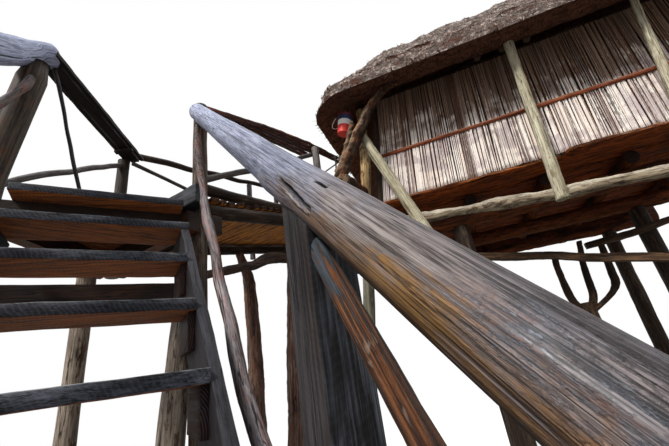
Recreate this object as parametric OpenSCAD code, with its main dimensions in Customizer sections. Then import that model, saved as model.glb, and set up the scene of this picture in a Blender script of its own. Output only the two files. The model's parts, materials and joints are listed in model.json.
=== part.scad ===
// Thatched tree house on posts, reached by an open log stair and a lath gangway.
// Millimetres, +Z up, level ground at z = 0.
// The origin is the foot of the round post where stair, landing and gangway meet.
// +X runs along the cabin's front wall and +Y into the cabin.

/* [Stair] */
// Height of one step
riser = 240; // [200:5:260]
// Depth of one step, nosing to nosing
going = 220; // [200:5:260]
// Number of risers from the ground to the landing
riser_count = 13; // [11:1:14]
// Width of the flight over both stringers
stair_w = 760; // [700:10:900]
// Thickness of a tread
tread_t = 40; // [30:1:50]
// Depth of a tread board
tread_d = 240; // [220:5:280]
// Thickness of a stringer plank
stringer_t = 38; // [30:1:60]
// Depth of a stringer plank, square to its slope
stringer_d = 235; // [200:5:280]
// Turn of the treads from the cabin's front wall
stair_turn = 50.7; // [45:0.1:60]

/* [Landing and gangway] */
// Length of the gangway from the corner post to the porch
gangway_l = 2020; // [1800:10:2300]
// Width of the gangway between its edge logs
gangway_w = 960; // [850:10:1050]
// Rise of the gangway over its length
gangway_rise = 410; // [300:10:500]
// Step up from the landing to the gangway
gangway_step = 108; // [60:1:150]
// Turn of the gangway from the cabin's front wall
gangway_turn = 77.5; // [75:0.5:80]
// Height of the posts' heads over the landing
rail_h = 850; // [750:10:950]
// Number of laths across the gangway
lath_count = 24; // [18:1:30]

/* [Cabin] */
// Length of the cabin along its front wall
cabin_l = 3200; // [2800:50:3600]
// Depth of the cabin
cabin_d = 2700; // [2400:50:2900]
// Height of the walls from the floor to the wall plate
wall_h = 1330; // [1200:10:1500]
// Thickness of a reed wall
wall_t = 45; // [30:1:60]
// How far the left wall leans in over its height
wall_lean = 173; // [0:1:190]
// Clear width of the doorway
door_w = 700; // [600:10:800]
// Clear height of the doorway
door_h = 1180; // [1000:10:1190]

/* [Roof] */
// Overhang of the thatch past the walls
eave_out = 560; // [450:10:700]
// Fall of the soffit from the wall plate to the eave
eave_fall = 175; // [100:5:250]
// Thickness of the thatch at the eave
thatch_t = 300; // [200:10:350]
// Pitch of the roof
roof_pitch = 38; // [32:1:42]

/* [Timber] */
// Diameter of the round posts under the landing
post_d = 110; // [90:1:150]
// Diameter of the corner post
corner_d = 92; // [80:1:120]
// Diameter of the cabin's main posts
main_post_d = 170; // [140:5:220]
// Diameter of the stair's handrail logs
handrail_d = 116; // [100:1:140]
// Side of the square newel posts
newel_w = 108; // [90:1:120]
// Clearance between round pieces that lie on each other
seat = 0.3; // [0.2:0.05:1]

/* [Hidden] */
$fn = 48;

landing_z = riser * riser_count;
gangway_z = landing_z + gangway_step;
gangway_slope = asin(gangway_rise / gangway_l);
porch_step = 22;
floor_z = gangway_z + gangway_rise + porch_step;

// Where the corner post stands in the stair's own frame
post_side = stair_w + 117;
post_back = 165;

// The cabin's front left corner, seen from the corner post
gangway_end = [gangway_l * cos(gangway_turn), gangway_l * sin(gangway_turn)];
cabin_x = gangway_end.x + 448;
cabin_y = gangway_end.y - 158;

// A straight round pole from one point to another, with its own width at each end
module pole(p, q, d1, d2) {
    v = q - p;
    len = norm(v);
    translate(p)
        rotate([0, acos(v.z / len), atan2(v.y, v.x)])
            cylinder(h = len, d1 = d1, d2 = d2);
}

function unit(v) = v / norm(v);

// A smooth line of points, or of widths, through the given ones
function between(a, b, c, d, t) =
    (2 * b + (c - a) * t + (2 * a - 5 * b + 4 * c - d) * t * t + (3 * b - a - 3 * c + d) * t * t * t) / 2;
function smooth(list, steps) =
    let (n = len(list) - 1)
    [for (i = [0 : n - 1], k = [0 : steps - 1])
        between(list[max(i - 1, 0)], list[i], list[i + 1], list[min(i + 2, n)], k / steps),
        list[n]];

// Direction of a bent log at its point i
function log_run(pts, i) =
    unit(pts[min(i + 1, len(pts) - 1)] - pts[max(i - 1, 0)]);

// Points of one ring around a bent log
function log_ring(p, run, width, sides, ref) =
    let (u = unit(cross(ref, run)), w = cross(run, u))
    [for (k = [0 : sides - 1])
        let (a = 360 * k / sides)
        p + width / 2 * (cos(a) * u + sin(a) * w)];

// A bent log through points, with its own width at each of them. Level ends suit an upright one
module bent_log(marks, girths, level = false, sides = 16, ref = [0.13, 0.97, 0.21], steps = 4) {
    pts = smooth(marks, steps);
    widths = smooth(girths, steps);
    n = len(pts);
    rings = [for (i = [0 : n - 1])
        each log_ring(pts[i], level ? [0, 0, 1] : log_run(pts, i), widths[i], sides, ref)];
    skin = [for (i = [0 : n - 2], k = [0 : sides - 1])
        let (a = i * sides + k, b = i * sides + (k + 1) % sides)
        each [[a, a + sides, b], [b, a + sides, b + sides]]];
    caps = [[for (k = [0 : sides - 1]) k],
            [for (k = [sides - 1 : -1 : 0]) (n - 1) * sides + k]];
    polyhedron(rings, concat(skin, caps), convexity = 6);
}

// The stair's own frame: x across the flight, y up it, the top tread's front edge on y = 0
module in_stair_frame() {
    rotate(stair_turn)
        translate([-post_side, -post_back, 0])
            children();
}

// The other side of the flight, seen from its middle
module mirror_stair() {
    translate([stair_w, 0, 0])
        mirror([1, 0, 0])
            children();
}

// The gangway's own frame: x up the gangway in plan, y to its far side
module in_gangway_frame() {
    rotate(gangway_turn)
        children();
}

// The sloping deck's frame: the laths' tops lie on z = 0
module in_deck_frame() {
    in_gangway_frame()
        translate([0, 0, gangway_z])
            rotate([0, -gangway_slope, 0])
                children();
}

// The cabin's own frame: its front left corner at floor level
module in_cabin_frame() {
    translate([cabin_x, cabin_y, floor_z])
        children();
}

// Plan places seen from the corner post
function stair_point(x, y) =
    let (dx = x - post_side, dy = y - post_back)
    [dx * cos(stair_turn) - dy * sin(stair_turn), dx * sin(stair_turn) + dy * cos(stair_turn)];
function gangway_point(s, w) =
    [s * cos(gangway_turn) - w * sin(gangway_turn), s * sin(gangway_turn) + w * cos(gangway_turn)];

// Height of the line through the nosings at distance y up the flight
function nosing_z(y) = landing_z + y * riser / going;
function nosing_y(z) = (z - landing_z) * going / riser;

// A stringer runs from the ground to the underside of the second tread
stringer_drop = tread_t;
stringer_v = stringer_d * norm([riser, going]) / going;
stringer_top = landing_z - riser - tread_t;

module stringer() {
    rotate([90, 0, 90])
        linear_extrude(stringer_t)
            polygon([
                [nosing_y(stringer_drop), 0],
                [nosing_y(stringer_drop + stringer_v), 0],
                [nosing_y(stringer_top + stringer_drop + stringer_v), stringer_top],
                [nosing_y(stringer_top + stringer_drop), stringer_top]
            ]);
}

module stair_stringers() {
    color("#3b3a3c")
        in_stair_frame() {
            stringer();
            mirror_stair() stringer();
        }
}

// The first two treads lie on the stringers' heads and the others fit between the planks
function tread_inset(k) = k <= 2 ? 0 : stringer_t;

module tread(k) {
    inset = tread_inset(k);
    translate([inset, -(k - 1) * going, landing_z - (k - 1) * riser - tread_t])
        cube([stair_w - 2 * inset, tread_d, tread_t]);
}

module stair_treads() {
    color("#3a3d45")
        in_stair_frame()
            for (k = [1 : riser_count]) tread(k);
}

// Cleats carry each tread from below on the stringers' inner faces
cleat_w = 22;
cleat_l = 210;
cleat_h = 130;
cleat_back = 25;

module cleat_row() {
    for (k = [3 : riser_count])
        translate([stringer_t, cleat_back - (k - 1) * going,
                   landing_z - (k - 1) * riser - tread_t - cleat_h])
            cube([cleat_w, cleat_l, cleat_h]);
}

module tread_cleats() {
    color("#7a4a2a")
        in_stair_frame() {
            cleat_row();
            mirror_stair() cleat_row();
        }
}

// Square newels stand outside the stringers on packers, and run to the ground
newel_gap = 44;
newel_x = stair_w + newel_gap;
newel_ys = [-1357, -2790];
packer_h = 180;

// Each handrail log: its head and its foot
right_rail = [[846, 112, 3875], [850, -2900, 933]];
left_rail = [[866, 300, 4218], [850, -2900, 1178]];

function rail_slope(rail) = (rail[0].z - rail[1].z) / (rail[0].y - rail[1].y);
function rail_z(rail, y) = rail[1].z + (y - rail[1].y) * rail_slope(rail);

// The newels' heads are cut to the log's slope and reach into a flat on it
notch = 25;
function newel_top(rail, y) =
    rail_z(rail, y) - handrail_d / 2 * norm([1, rail_slope(rail)]) + notch;

module newel(rail, y, grow = 0) {
    translate([newel_x - grow, 0, 0])
        rotate([90, 0, 90])
            linear_extrude(newel_w + 2 * grow)
                polygon([
                    [y - grow, 0],
                    [y + newel_w + grow, 0],
                    [y + newel_w + grow, newel_top(rail, y + newel_w) + grow],
                    [y - grow, newel_top(rail, y) + grow]
                ]);
}

module newel_pair(rail) {
    for (y = newel_ys) {
        newel(rail, y);
        translate([stair_w, y, nosing_z(y) - packer_h]) cube([newel_gap, newel_w, packer_h]);
    }
}

module stair_newels() {
    color("#26262b")
        in_stair_frame() {
            newel_pair(right_rail);
            mirror_stair() newel_pair(left_rail);
        }
}

module rail_pole(rail, grow = 0) {
    pole(rail[1], rail[0], handrail_d + 6 + grow, handrail_d - 4 + grow);
}

module handrail_log(rail, head_post_d, head_post_top) {
    difference() {
        rail_pole(rail);
        for (y = newel_ys) newel(rail, y, seat);
        translate([post_side, post_back, 0])
            cylinder(d = head_post_d + 2 * seat, h = head_post_top + seat);
    }
}

module handrail_right() {
    color("#8f8d90")
        in_stair_frame() handrail_log(right_rail, corner_d, landing_z + rail_h);
}

module handrail_left() {
    color("#77757a")
        in_stair_frame() mirror_stair() handrail_log(left_rail, left_d, left_top);
}

// A brace falls from each upper newel's front face to the lower newel's foot
brace_d = 43;
brace_x = newel_x + 26;
brace_head = 2298;
brace_foot = 196;
left_lift = 190;

module stair_brace(drop) {
    top = [brace_x, newel_ys[0] - 12, brace_head + drop];
    foot = [brace_x, newel_ys[1] + newel_w, brace_foot];
    difference() {
        pole(foot + (foot - top) * 0.06, top - (foot - top) * 0.06, brace_d, brace_d);
        translate([stair_w - 200, newel_ys[0] - seat, 0])
            cube([600, 600, 2 * landing_z]);
        translate([stair_w - 200, newel_ys[1] + newel_w + seat - 600, -1000])
            cube([600, 600, landing_z]);
    }
}

module stair_braces() {
    color("#5d2f1e")
        in_stair_frame() {
            stair_brace(0);
            mirror_stair() stair_brace(left_lift);
        }
}

// Thin bent poles fall from the corner post's head and the left post's to the upper newels
left_d = 128;
bent_d = 48;
bent_x = stair_w + 92;
bent_y = post_back - sqrt(pow(corner_d / 2 + bent_d / 2 - 4 + seat, 2) - pow(post_side - bent_x, 2));
thin_d = 40;
thin_x = stair_w - post_side + (left_d + thin_d) / 2 + seat;

module bent_pole() {
    color("#5a4438")
        in_stair_frame() {
            difference() {
                bent_log([[bent_x, bent_y, 3760], [bent_x, bent_y - 10, 3620],
                          [bent_x - 6, -60, 3163], [bent_x - 6, -321, 2750], [bent_x - 6, -454, 2519],
                          [bent_x - 6, -614, 2290], [bent_x - 6, -866, 1960], [bent_x - 6, -1290, 1480]],
                         [bent_d - 8, bent_d - 8, bent_d - 4, bent_d, bent_d, bent_d,
                          bent_d + 4, bent_d + 6]);
                newel(right_rail, newel_ys[0], seat);
            }
            difference() {
                bent_log([[thin_x, post_back, 3951], [thin_x, -40, 3644], [thin_x - 2, -200, 3388],
                          [thin_x - 17, -600, 2760], [thin_x - 42, -900, 2300],
                          [thin_x - 67, -1290, 1700]],
                         [thin_d, thin_d, thin_d, thin_d + 4, thin_d + 6, thin_d + 8]);
                mirror_stair() newel(left_rail, newel_ys[0], seat);
            }
        }
}

module corner_post() {
    color("#4a3f3a") cylinder(d = corner_d, h = landing_z + rail_h);
}

// The landing's other posts: a thick one at the stair's left, a rail post at the gangway's far
// side, one under the side beam, and a leaning one that the two beams clamp
left_top = landing_z + rail_h + 54;
board_t = 40;
beam_h = 120;
beam_w = 80;
beam_z = landing_z - board_t;
sill_drop = 25;
left_foot = stair_point(stair_w - post_side, post_back);
far_w = gangway_w + 60;
far_foot = gangway_point(0, far_w);
side_run = far_foot - left_foot;
side_foot = left_foot + 0.75 * side_run;
lean_foot = stair_point(652, 250);
lean_head = gangway_point(0, 94);

module leaning_post() {
    foot = [lean_foot.x, lean_foot.y, 0];
    run = [lean_head.x, lean_head.y, beam_z - seat] - foot;
    bent_log([foot, foot + 0.6 * run, foot + 0.73 * run, foot + 0.94 * run, foot + run],
             [190, 140, 118, 90, 88], true);
}

module landing_posts() {
    color("#5a4632") {
        translate(left_foot) cylinder(d = left_d, h = left_top);
        translate([far_foot.x, far_foot.y, beam_z - beam_h])
            cylinder(d = corner_d, h = landing_z + rail_h + 20 - beam_z + beam_h);
        translate(side_foot) cylinder(d = post_d, h = beam_z - beam_h);
        leaning_post();
    }
}

// Two beams clamp the posts on the gangway's line, one under the landing and one that the
// bearers are notched over, a little higher
beam_gap = corner_d / 2;
ledger_t = 45;

module clamp_beam_low() {
    translate([-beam_gap - beam_w, -60, beam_z - beam_h]) cube([beam_w, far_w + 130, beam_h]);
}

module clamp_beam_high() {
    translate([beam_gap, -60, beam_z - beam_h + sill_drop])
        cube([beam_w, far_w + 130, beam_h]);
}

module landing_beams() {
    color("#3a2a20") {
        in_gangway_frame() clamp_beam_low();
        in_gangway_frame() clamp_beam_high();
        // Front beam between the left post and the corner post
        difference() {
            in_stair_frame()
                translate([stair_w - post_side, post_back - beam_w / 2 - 4, beam_z - beam_h])
                    cube([2 * post_side - stair_w, beam_w, beam_h]);
            translate(left_foot) cylinder(d = left_d, h = landing_z);
            cylinder(d = corner_d, h = landing_z);
            in_gangway_frame() clamp_beam_low();
        }
        // Ledger lower down, from the left post to the leaning one
        difference() {
            in_stair_frame()
                translate([stair_w - post_side, post_back - 14, 2567]) cube([933, ledger_t, 102]);
            translate(left_foot) cylinder(d = left_d, h = landing_z);
        }
        // Side beam from the left post to the low clamp beam
        difference() {
            translate([left_foot.x, left_foot.y, beam_z - beam_h])
                rotate(atan2(side_run.y, side_run.x))
                    translate([0, -beam_w / 2, 0])
                        cube([norm(side_run), beam_w, beam_h]);
            translate(left_foot) cylinder(d = left_d, h = landing_z);
            in_gangway_frame()
                translate([-beam_gap - beam_w, -500, 0]) cube([2000, far_w + 1000, landing_z]);
        }
    }
}

// Landing boards run with the treads and are cut to the landing's wedge
board_pitch = 222;
board_gap = 8;

module landing_deck() {
    color("#54443a")
        translate([0, 0, beam_z])
            linear_extrude(board_t)
                for (i = [0 : 3])
                    intersection() {
                        polygon([
                            stair_point(-60, tread_d + board_gap),
                            gangway_point(-beam_gap, 120),
                            gangway_point(-beam_gap, far_w - beam_gap)
                        ]);
                        translate(stair_point(-200, tread_d + board_gap + board_pitch * i))
                            rotate(stair_turn)
                                square([post_side + 200, board_pitch - board_gap]);
                    }
}

// Three boards side by side on the landing's left, from the left handrail to the far post's head
side_rail_t = 34;
side_rail_w = 150;
side_rail_rise = 100;
side_cleat_at = 150;
side_cleat_t = 24;
side_rail_z = landing_z + rail_h + 20;
side_rail_far = [-938, 280, side_rail_z];
side_rail_near = [-545, -772, side_rail_z + side_rail_rise];

module along_side_rail() {
    run = side_rail_near - side_rail_far;
    translate(side_rail_far)
        rotate([0, 0, atan2(run.y, run.x)])
            rotate([0, -asin(run.z / norm(run)), 0])
                children();
}

module landing_rail() {
    len = norm(side_rail_near - side_rail_far);
    color("#3a3028")
        difference() {
            along_side_rail() {
                for (cut = [[0, 36], [44, 114], [122, side_rail_w]])
                    translate([0, cut[0] - side_rail_w / 2, 0])
                        cube([len, cut[1] - cut[0], side_rail_t]);
                // A cleat holds them together
                translate([side_cleat_at, 4 - side_rail_w / 2, -side_cleat_t - seat])
                    cube([40, side_rail_w - 8, side_cleat_t]);
            }
            in_stair_frame() mirror_stair() rail_pole(left_rail, 2 * seat);
        }
}

// A squared sill lies on the landing in front of the gangway
sill_w = 79;
sill_h = 122;
sill_out = 125;

module gangway_sill() {
    color("#1f1c1d")
        in_gangway_frame()
            translate([-beam_gap - sill_w, -sill_out, landing_z])
                cube([sill_w, far_w + sill_out + 15, sill_h]);
}

lath_t = 30;
lath_w = 62;
bearer_d = 100;
kerb_d = 75;
edge_in = 27;
deck_start = 60;
deck_end = gangway_l - 6;

module bearer(w, grow = 0) {
    in_deck_frame()
        translate([deck_start, w, -lath_t - bearer_d / 2 - seat])
            rotate([0, 90, 0])
                cylinder(h = deck_end - deck_start + 60, d = bearer_d + 2 * grow);
}

module gangway_bearers() {
    color("#4b3a2e")
        difference() {
            for (w = [edge_in, gangway_w - edge_in]) bearer(w);
            in_gangway_frame()
                translate([0, -60, beam_z - beam_h])
                    cube([beam_gap + beam_w + seat, far_w + 130, beam_h + sill_drop + seat]);
            in_gangway_frame() porch_header(seat);
            in_gangway_frame() translate([gangway_l + header_t, -500, 0]) cube([500, 2000, 5000]);
        }
}

// The header that closes the porch takes the bearers' upper ends
header_t = 70;

module porch_header(grow = 0) {
    translate([gangway_l - grow, -62 - grow, floor_z - slab_t - joist_d - grow])
        cube([header_t + 2 * grow, gangway_w + 110 + 2 * grow, joist_d - seat + 2 * grow]);
}

module gangway_laths() {
    pitch = (deck_end - deck_start - lath_w) / (lath_count - 1);
    color("#b07a3c")
        in_deck_frame()
            for (i = [0 : lath_count - 1])
                translate([deck_start + i * pitch, -30, -lath_t])
                    cube([lath_w, gangway_w + 60, lath_t]);
}

// The near kerb bends up at its lower end: its runs, and what it lies above its place there
near_kerb_lift = [[62, 41], [400, 12], [842, -9], [1400, 0], [deck_end, 0]];

module near_kerb(grow = 0) {
    bent_log([for (p = near_kerb_lift) [p[0], edge_in, deck_z(p[0]) + kerb_up + p[1]]],
             [kerb_d + 2 + grow, kerb_d + grow, kerb_d + grow, kerb_d + grow, kerb_d - 4 + grow]);
}

// Everything below the laths' tops
module below_deck() {
    translate([0, -200, gangway_z])
        rotate([0, -gangway_slope, 0])
            translate([0, 0, seat - 300]) cube([gangway_l + 300, gangway_w, 300]);
}

module far_kerb(grow = 0) {
    pole([64, gangway_w - edge_in, deck_z(64) + kerb_up],
         [deck_end, gangway_w - edge_in, deck_z(deck_end) + kerb_up], kerb_d + grow, kerb_d + grow);
}

module gangway_kerbs() {
    color("#463629")
        in_gangway_frame() {
            difference() {
                near_kerb();
                below_deck();
            }
            far_kerb();
        }
}

// Height of the laths' tops, and of a kerb's middle over them, at distance run up the gangway
function deck_z(run) = gangway_z + run * tan(gangway_slope);
kerb_up = (kerb_d / 2 + 2 * seat) / cos(gangway_slope);

// The near rail is a flat bundle of laths that fans out uphill: the underside's run and height
near_profile = [[-30, 3951], [0, 3960], [112, 3997], [654, 4172], [1370, 4358], [2065, 4478], [2130, 4489]];
near_rail_t = 22;
near_edge = -23;
fan_at = 1350;
fan_end = 1600;

module near_band(grow = 0) {
    n = len(near_profile) - 1;
    translate([0, 300, 0])
        rotate([90, 0, 0])
            linear_extrude(400)
                polygon(concat(
                    [for (p = near_profile) [p.x, p.y - grow]],
                    [for (i = [n : -1 : 0]) [near_profile[i].x, near_profile[i].y + near_rail_t + grow]]));
}

module near_lath(i) {
    low = near_edge + 13 * i;
    high = near_edge + 51 * i;
    last = i < 2 ? 2130 : fan_end - 60 * (i % 2);
    linear_extrude(5000)
        polygon([[-30, low], [fan_at, high], [last, high], [last, high + 42], [fan_at, high + 42],
                 [-30, low + 10]]);
}

module gangway_near_rail() {
    color("#6a3324")
        in_gangway_frame()
            difference() {
                intersection() {
                    near_band();
                    for (i = [0 : 4]) near_lath(i);
                }
                cylinder(d = corner_d + 2 * seat, h = landing_z + rail_h + seat);
            }
}

far_rail_d = 58;
far_rail_w = gangway_w + 54;
far_rail_low = side_rail_z + side_rail_t + 33;
far_rail_high = landing_z + rail_h + 500;
far_rail_start = -30;
function far_rail_z(run) =
    far_rail_low + (run - far_rail_start) * (far_rail_high - far_rail_low) / (gangway_l - far_rail_start);

module gangway_far_rail() {
    color("#3b2f2a")
        in_gangway_frame()
            pole([far_rail_start, far_rail_w, far_rail_low], [gangway_l, far_rail_w, far_rail_high],
                 far_rail_d, far_rail_d - 6);
}

// Posts stand against the bearers' outer faces
rail_post_d = 62;
small_post = [1385, 74, 4290];

module side_post(run, side, d, top) {
    w = side < 0 ? near_edge - d / 2 - seat : gangway_w - near_edge + d / 2 + seat;
    low = deck_z(run) - lath_t - bearer_d - 40;
    translate([run, w, low]) cylinder(d = d, h = top - low);
}

module rail_posts() {
    upper = gangway_l - 60;
    color("#8a8378")
        in_gangway_frame() {
            side_post(small_post[0], -1, small_post[1], small_post[2]);
            side_post(upper, -1, rail_post_d, 4456);
            for (run = [1470, upper])
                side_post(run, 1, rail_post_d, far_rail_z(run - rail_post_d / 2) - far_rail_d / 2 - 1);
        }
}

// Light poles and sticks between the rails
module rail_sticks() {
    color("#8d8274") {
        in_gangway_frame() {
            // Near diagonal, from the corner post to the small post's head
            difference() {
                bent_log([[10, near_w, 3360], [46, near_w, 3383], [450, near_w, 3635], [1440, near_w, 4266]],
                         [near_bar_d, near_bar_d, near_bar_d, near_bar_d]);
                cylinder(d = corner_d + 2 * seat, h = landing_z + rail_h);
            }
            // Two thin sticks up to the near rail
            difference() {
                union() {
                    bent_log([[820, near_w, 3460], [1614, near_w, 4111], [1875, near_w, 4325],
                              [2060, near_w, 4477]], [18, 16, 16, 14]);
                    bent_log([[1868, near_w - 17, 3600], [1859, near_w - 17, 4151],
                              [1875, near_w - 17, 4325], [1885, near_w - 17, 4470]],
                             [18, 16, 16, 14], ref = [1, 0, 0]);
                }
                near_band(seat);
                near_kerb(2 * seat);
                below_deck();
                translate([0, -500, 4460]) cube([5000, 1000, 500]);
            }
            // Far diagonal, from the far post down to the far kerb
            difference() {
                bent_log([[40, far_bar_w, 3957], [518, far_bar_w, 3911], [1200, far_bar_w, 3794],
                          [1860, far_bar_w, 3681]], [36, 36, 34, 32]);
                far_kerb(2 * seat);
            }
        }
        in_stair_frame() {
            // Diagonal from the left post up to the far post
            difference() {
                bent_log([[-117, 165, 3140], [-60, 262, 3250], [26, 408, 3389], [120, 590, 3548],
                          [241, 775, 3714], [415, 1072, 3945]], [38, 38, 40, 38, 38, 36]);
                translate([stair_w - post_side, post_back]) cylinder(d = left_d + 2 * seat, h = 5000);
                translate([417, 1075]) cylinder(d = corner_d + 2 * seat, h = 5000);
            }
        }
        // Stick from the top tread up to the side rail
        difference() {
            in_stair_frame()
                pole([279, 222, 3105], [10, 222, 4115], 32, 32);
            in_stair_frame() translate([0, 0, landing_z + seat - 100]) cube([600, 600, 100]);
            along_side_rail() translate([0, -500, -seat]) cube([2000, 1000, 1000]);
        }
    }
}

near_bar_d = 45;
near_w = near_edge + near_bar_d / 2 - 1;
far_bar_w = far_w - corner_d / 2 - 18 - seat;

// Bent props under the far and the near bearer
module far_prop() {
    w = gangway_w - edge_in;
    bent_log([[1333, w, 0], [1333, w, 1565], [1336, w, 2870], [1215, w, 3290], [1190, w, 3370]],
             [170, 150, 135, 92, 80], true);
}

module near_prop(grow = 0) {
    bent_log([[570, edge_in, 0], [776, edge_in, 1715], [905, edge_in, 2792], [974, edge_in, 3345]],
             [120 + grow, 112 + grow, 104 + grow, 92 + grow], true);
}

module gangway_props() {
    color("#4d3d33")
        difference() {
            in_gangway_frame() {
                far_prop();
                near_prop();
            }
            for (w = [edge_in, gangway_w - edge_in]) bearer(w, seat);
        }
}

// A crooked branch ties the near prop to the corner post
module tie_branch() {
    w = 20;
    color("#6a4d3c")
        in_gangway_frame()
            difference() {
                bent_log([[20, w, 2718], [154, w, 2761], [286, w, 2802], [382, w, 2835], [471, w, 2856],
                          [570, w, 2912], [690, w, 2952], [880, w, 2980]],
                         [50, 52, 56, 62, 70, 82, 87, 84]);
                cylinder(d = corner_d + 2 * seat, h = landing_z);
                near_prop(2 * seat);
            }
}

// A forked branch under the eave stands on a log that the porch post and an upright carry
fork_y = -328.5;

module fork_rest(grow = 0) {
    bent_log([[-291, -400, 179], [-245, -200, 185], [-190, 40, 191]], [88 + grow, 88 + grow, 86 + grow],
             ref = [0, 0, 1]);
}

module forked_branch() {
    color("#7b6a58")
        in_cabin_frame() {
            difference() {
                union() {
                    bent_log([[-318, fork_y, 180], [-311, fork_y, 320], [-159, fork_y, 565],
                              [-27, fork_y, 770], [107, fork_y, 980], [268, fork_y, 1143],
                              [439, fork_y, 1200]],
                             [104, 108, 82, 78, 66, 54, 40]);
                    bent_log([[-318, fork_y, 300], [-212, fork_y, 585], [-112, fork_y, 843],
                              [-91, fork_y, 872]], [60, 47, 44, 40]);
                    bent_log([[29, fork_y, 860], [141, fork_y, 1073]], [34, 27]);
                }
                fork_rest(2 * seat);
            }
            difference() {
                fork_rest();
                porch_log(2 * seat);
            }
            difference() {
                bent_log([[-272, front_y, -300], [-250, front_y, -60], [-228, front_y, 180]],
                         [84, 80, 76], true);
                fork_rest(2 * seat);
                front_log(2 * seat);
            }
        }
}

// A painted pail hangs askew from the eave by its wire
pail_h = 236;

module pail() {
    color("#c9c4ba")
        in_cabin_frame() {
            translate([-251, -200, 882])
                rotate([0, 14, 0]) {
                    difference() {
                        union() {
                            cylinder(h = pail_h, d1 = 148, d2 = 170);
                            translate([0, 0, pail_h - 10]) cylinder(h = 10, d = 176);
                        }
                        translate([0, 0, 4]) cylinder(h = pail_h, d1 = 142, d2 = 164);
                    }
                    // The bail's loop, fallen to one side
                    bent_log([[0, 85, 222], [-70, 92, 170], [-128, 50, 118], [-146, 0, 100],
                              [-128, -50, 118], [-70, -92, 170], [0, -85, 222]],
                             [7, 7, 7, 7, 7, 7, 7], sides = 8, ref = [0.9, 0.1, 0.3]);
                }
            bent_log([[-272, -200, 1126], [-262, -200, 1200], [-250, -200, 1264]], [8, 6, 6], sides = 8);
        }
}

// Platform timbers below the slabs
slab_t = 50;
joist_d = 130;
main_beam_d = 150;
joist_z = -slab_t - joist_d / 2 - seat;
main_beam_z = joist_z - (joist_d + main_beam_d) / 2 - seat;
porch_l = 1450;
joist_xs = [130, 870, 1610, 2350, 3070];
joist_y = 270;
porch_joist_xs = [-1230, -596];
beam_ys = [450, 1400, 2350];
post_xs = [-1250, 700, 2700];

module main_posts() {
    color("#6b5a48")
        translate([cabin_x, cabin_y, 0])
            for (x = post_xs)
                for (y = beam_ys)
                    if (!(x < 0 && y == beam_ys[2]))
                        translate([x, y, 0])
                            cylinder(d = main_post_d, h = floor_z + main_beam_z - main_beam_d / 2 - seat);
}

module main_beams() {
    color("#4a3526")
        in_cabin_frame()
            for (y = beam_ys) {
                // The back beam stops at the cabin, the others carry the porch
                out = y == beam_ys[2] ? 100 : porch_l - 60;
                translate([-out, y, main_beam_z])
                    rotate([0, 90, 0]) cylinder(d = main_beam_d, h = cabin_l + 100 + out);
            }
}

module floor_joists() {
    color("#523a2a")
        in_cabin_frame() {
            for (x = joist_xs)
                pole([x, joist_y, joist_z], [x, cabin_d + 100, joist_z], joist_d, joist_d);
        }
    color("#523a2a")
        difference() {
            in_cabin_frame()
                for (x = porch_joist_xs)
                    pole([x, 100, joist_z], [x, 1660, joist_z], joist_d, joist_d);
            in_gangway_frame()
                translate([0, -500, 0]) cube([gangway_l + header_t + seat, 2000, 5000]);
        }
    color("#523a2a") in_gangway_frame() porch_header();
}

// Waney slabs run along the cabin, side by side, with sawn ends
slab_count = 10;
slab_gap = 10;
front_slab = 340;
slab_pitch = (cabin_d + 110 - front_slab) / (slab_count - 1);
front_edge = [[-110, -18], [300, -12], [901, 0], [1263, 15], [1562, 25], [1767, 56], [1800, -52],
              [2008, -71], [2308, -56], [2571, -27], [3240, -30]];
function waney(k, x) =
    k == 0 ? lookup(x, front_edge) :
    front_slab + (k - 1) * slab_pitch + 12 * sin(x * 0.21 + 97 * k) + 8 * sin(x * 0.53 + 41 * k);

module slab(k) {
    x0 = k == 0 ? front_edge[0].x : k <= 5 ? -porch_l : -20;
    x1 = cabin_l + 40;
    n = 36;
    xs = k == 0 ? [for (p = front_edge) p.x] : [for (i = [0 : n]) x0 + (x1 - x0) * i / n];
    back = k == 0 ? -porch_l : x0;
    // The front slab's left end runs back to the gangway
    porch_end = k == 0 ? [[-porch_l, 150], [-430, 150], [-290, 60]] : [];
    difference() {
        translate([0, 0, -slab_t])
            linear_extrude(slab_t)
                polygon(concat(
                    porch_end,
                    [for (x = xs) [x, waney(k, x) + (k == 0 ? 0 : slab_gap / 2)]],
                    [for (i = [n : -1 : 0])
                        let (x = back + (x1 - back) * i / n)
                        [x, waney(k + 1, x) - slab_gap / 2]]));
        translate([-cabin_x, -cabin_y, -500])
            rotate(gangway_turn)
                translate([0, near_edge]) cube([gangway_l + 2, 1500, 1000]);
    }
}

module floor_slabs() {
    color("#7d3f26")
        in_cabin_frame()
            for (k = [0 : slab_count - 1]) slab(k);
}

// A gnarled beam in front of the posts under the cabin, with a post near each end
front_y = -126;

module front_log(grow = 0) {
    bent_log([[-440, front_y, -296], [-213, front_y, -305], [100, front_y, -315], [377, front_y, -332],
              [800, front_y, -370], [1130, front_y, -397], [1400, front_y, -410], [1600, front_y, -431],
              [1930, front_y, -441], [2345, front_y, -466], [2900, front_y, -480], [3300, front_y, -490]],
             [for (w = [66, 75, 72, 75, 64, 95, 64, 100, 77, 85, 80, 70]) w + grow]);
}

module front_beam() {
    color("#b7ad92") in_cabin_frame() front_log();
}

module front_posts() {
    color("#a8a48c")
        in_cabin_frame()
            difference() {
                union() {
                    bent_log([[-756, front_y, -floor_z], [-518, front_y, -2204], [-283, front_y, -770],
                              [-200, front_y, -310]], [126, 120, 116, 110], true);
                    bent_log([[2900, front_y, -floor_z], [2896, front_y, -1900], [2900, front_y, -480]],
                             [130, 118, 108], true);
                }
                front_log(2 * seat);
            }
}

// Three struts stand in front of the beam and reach the eave, the first one a fallen one
strut_y = -228;

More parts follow.
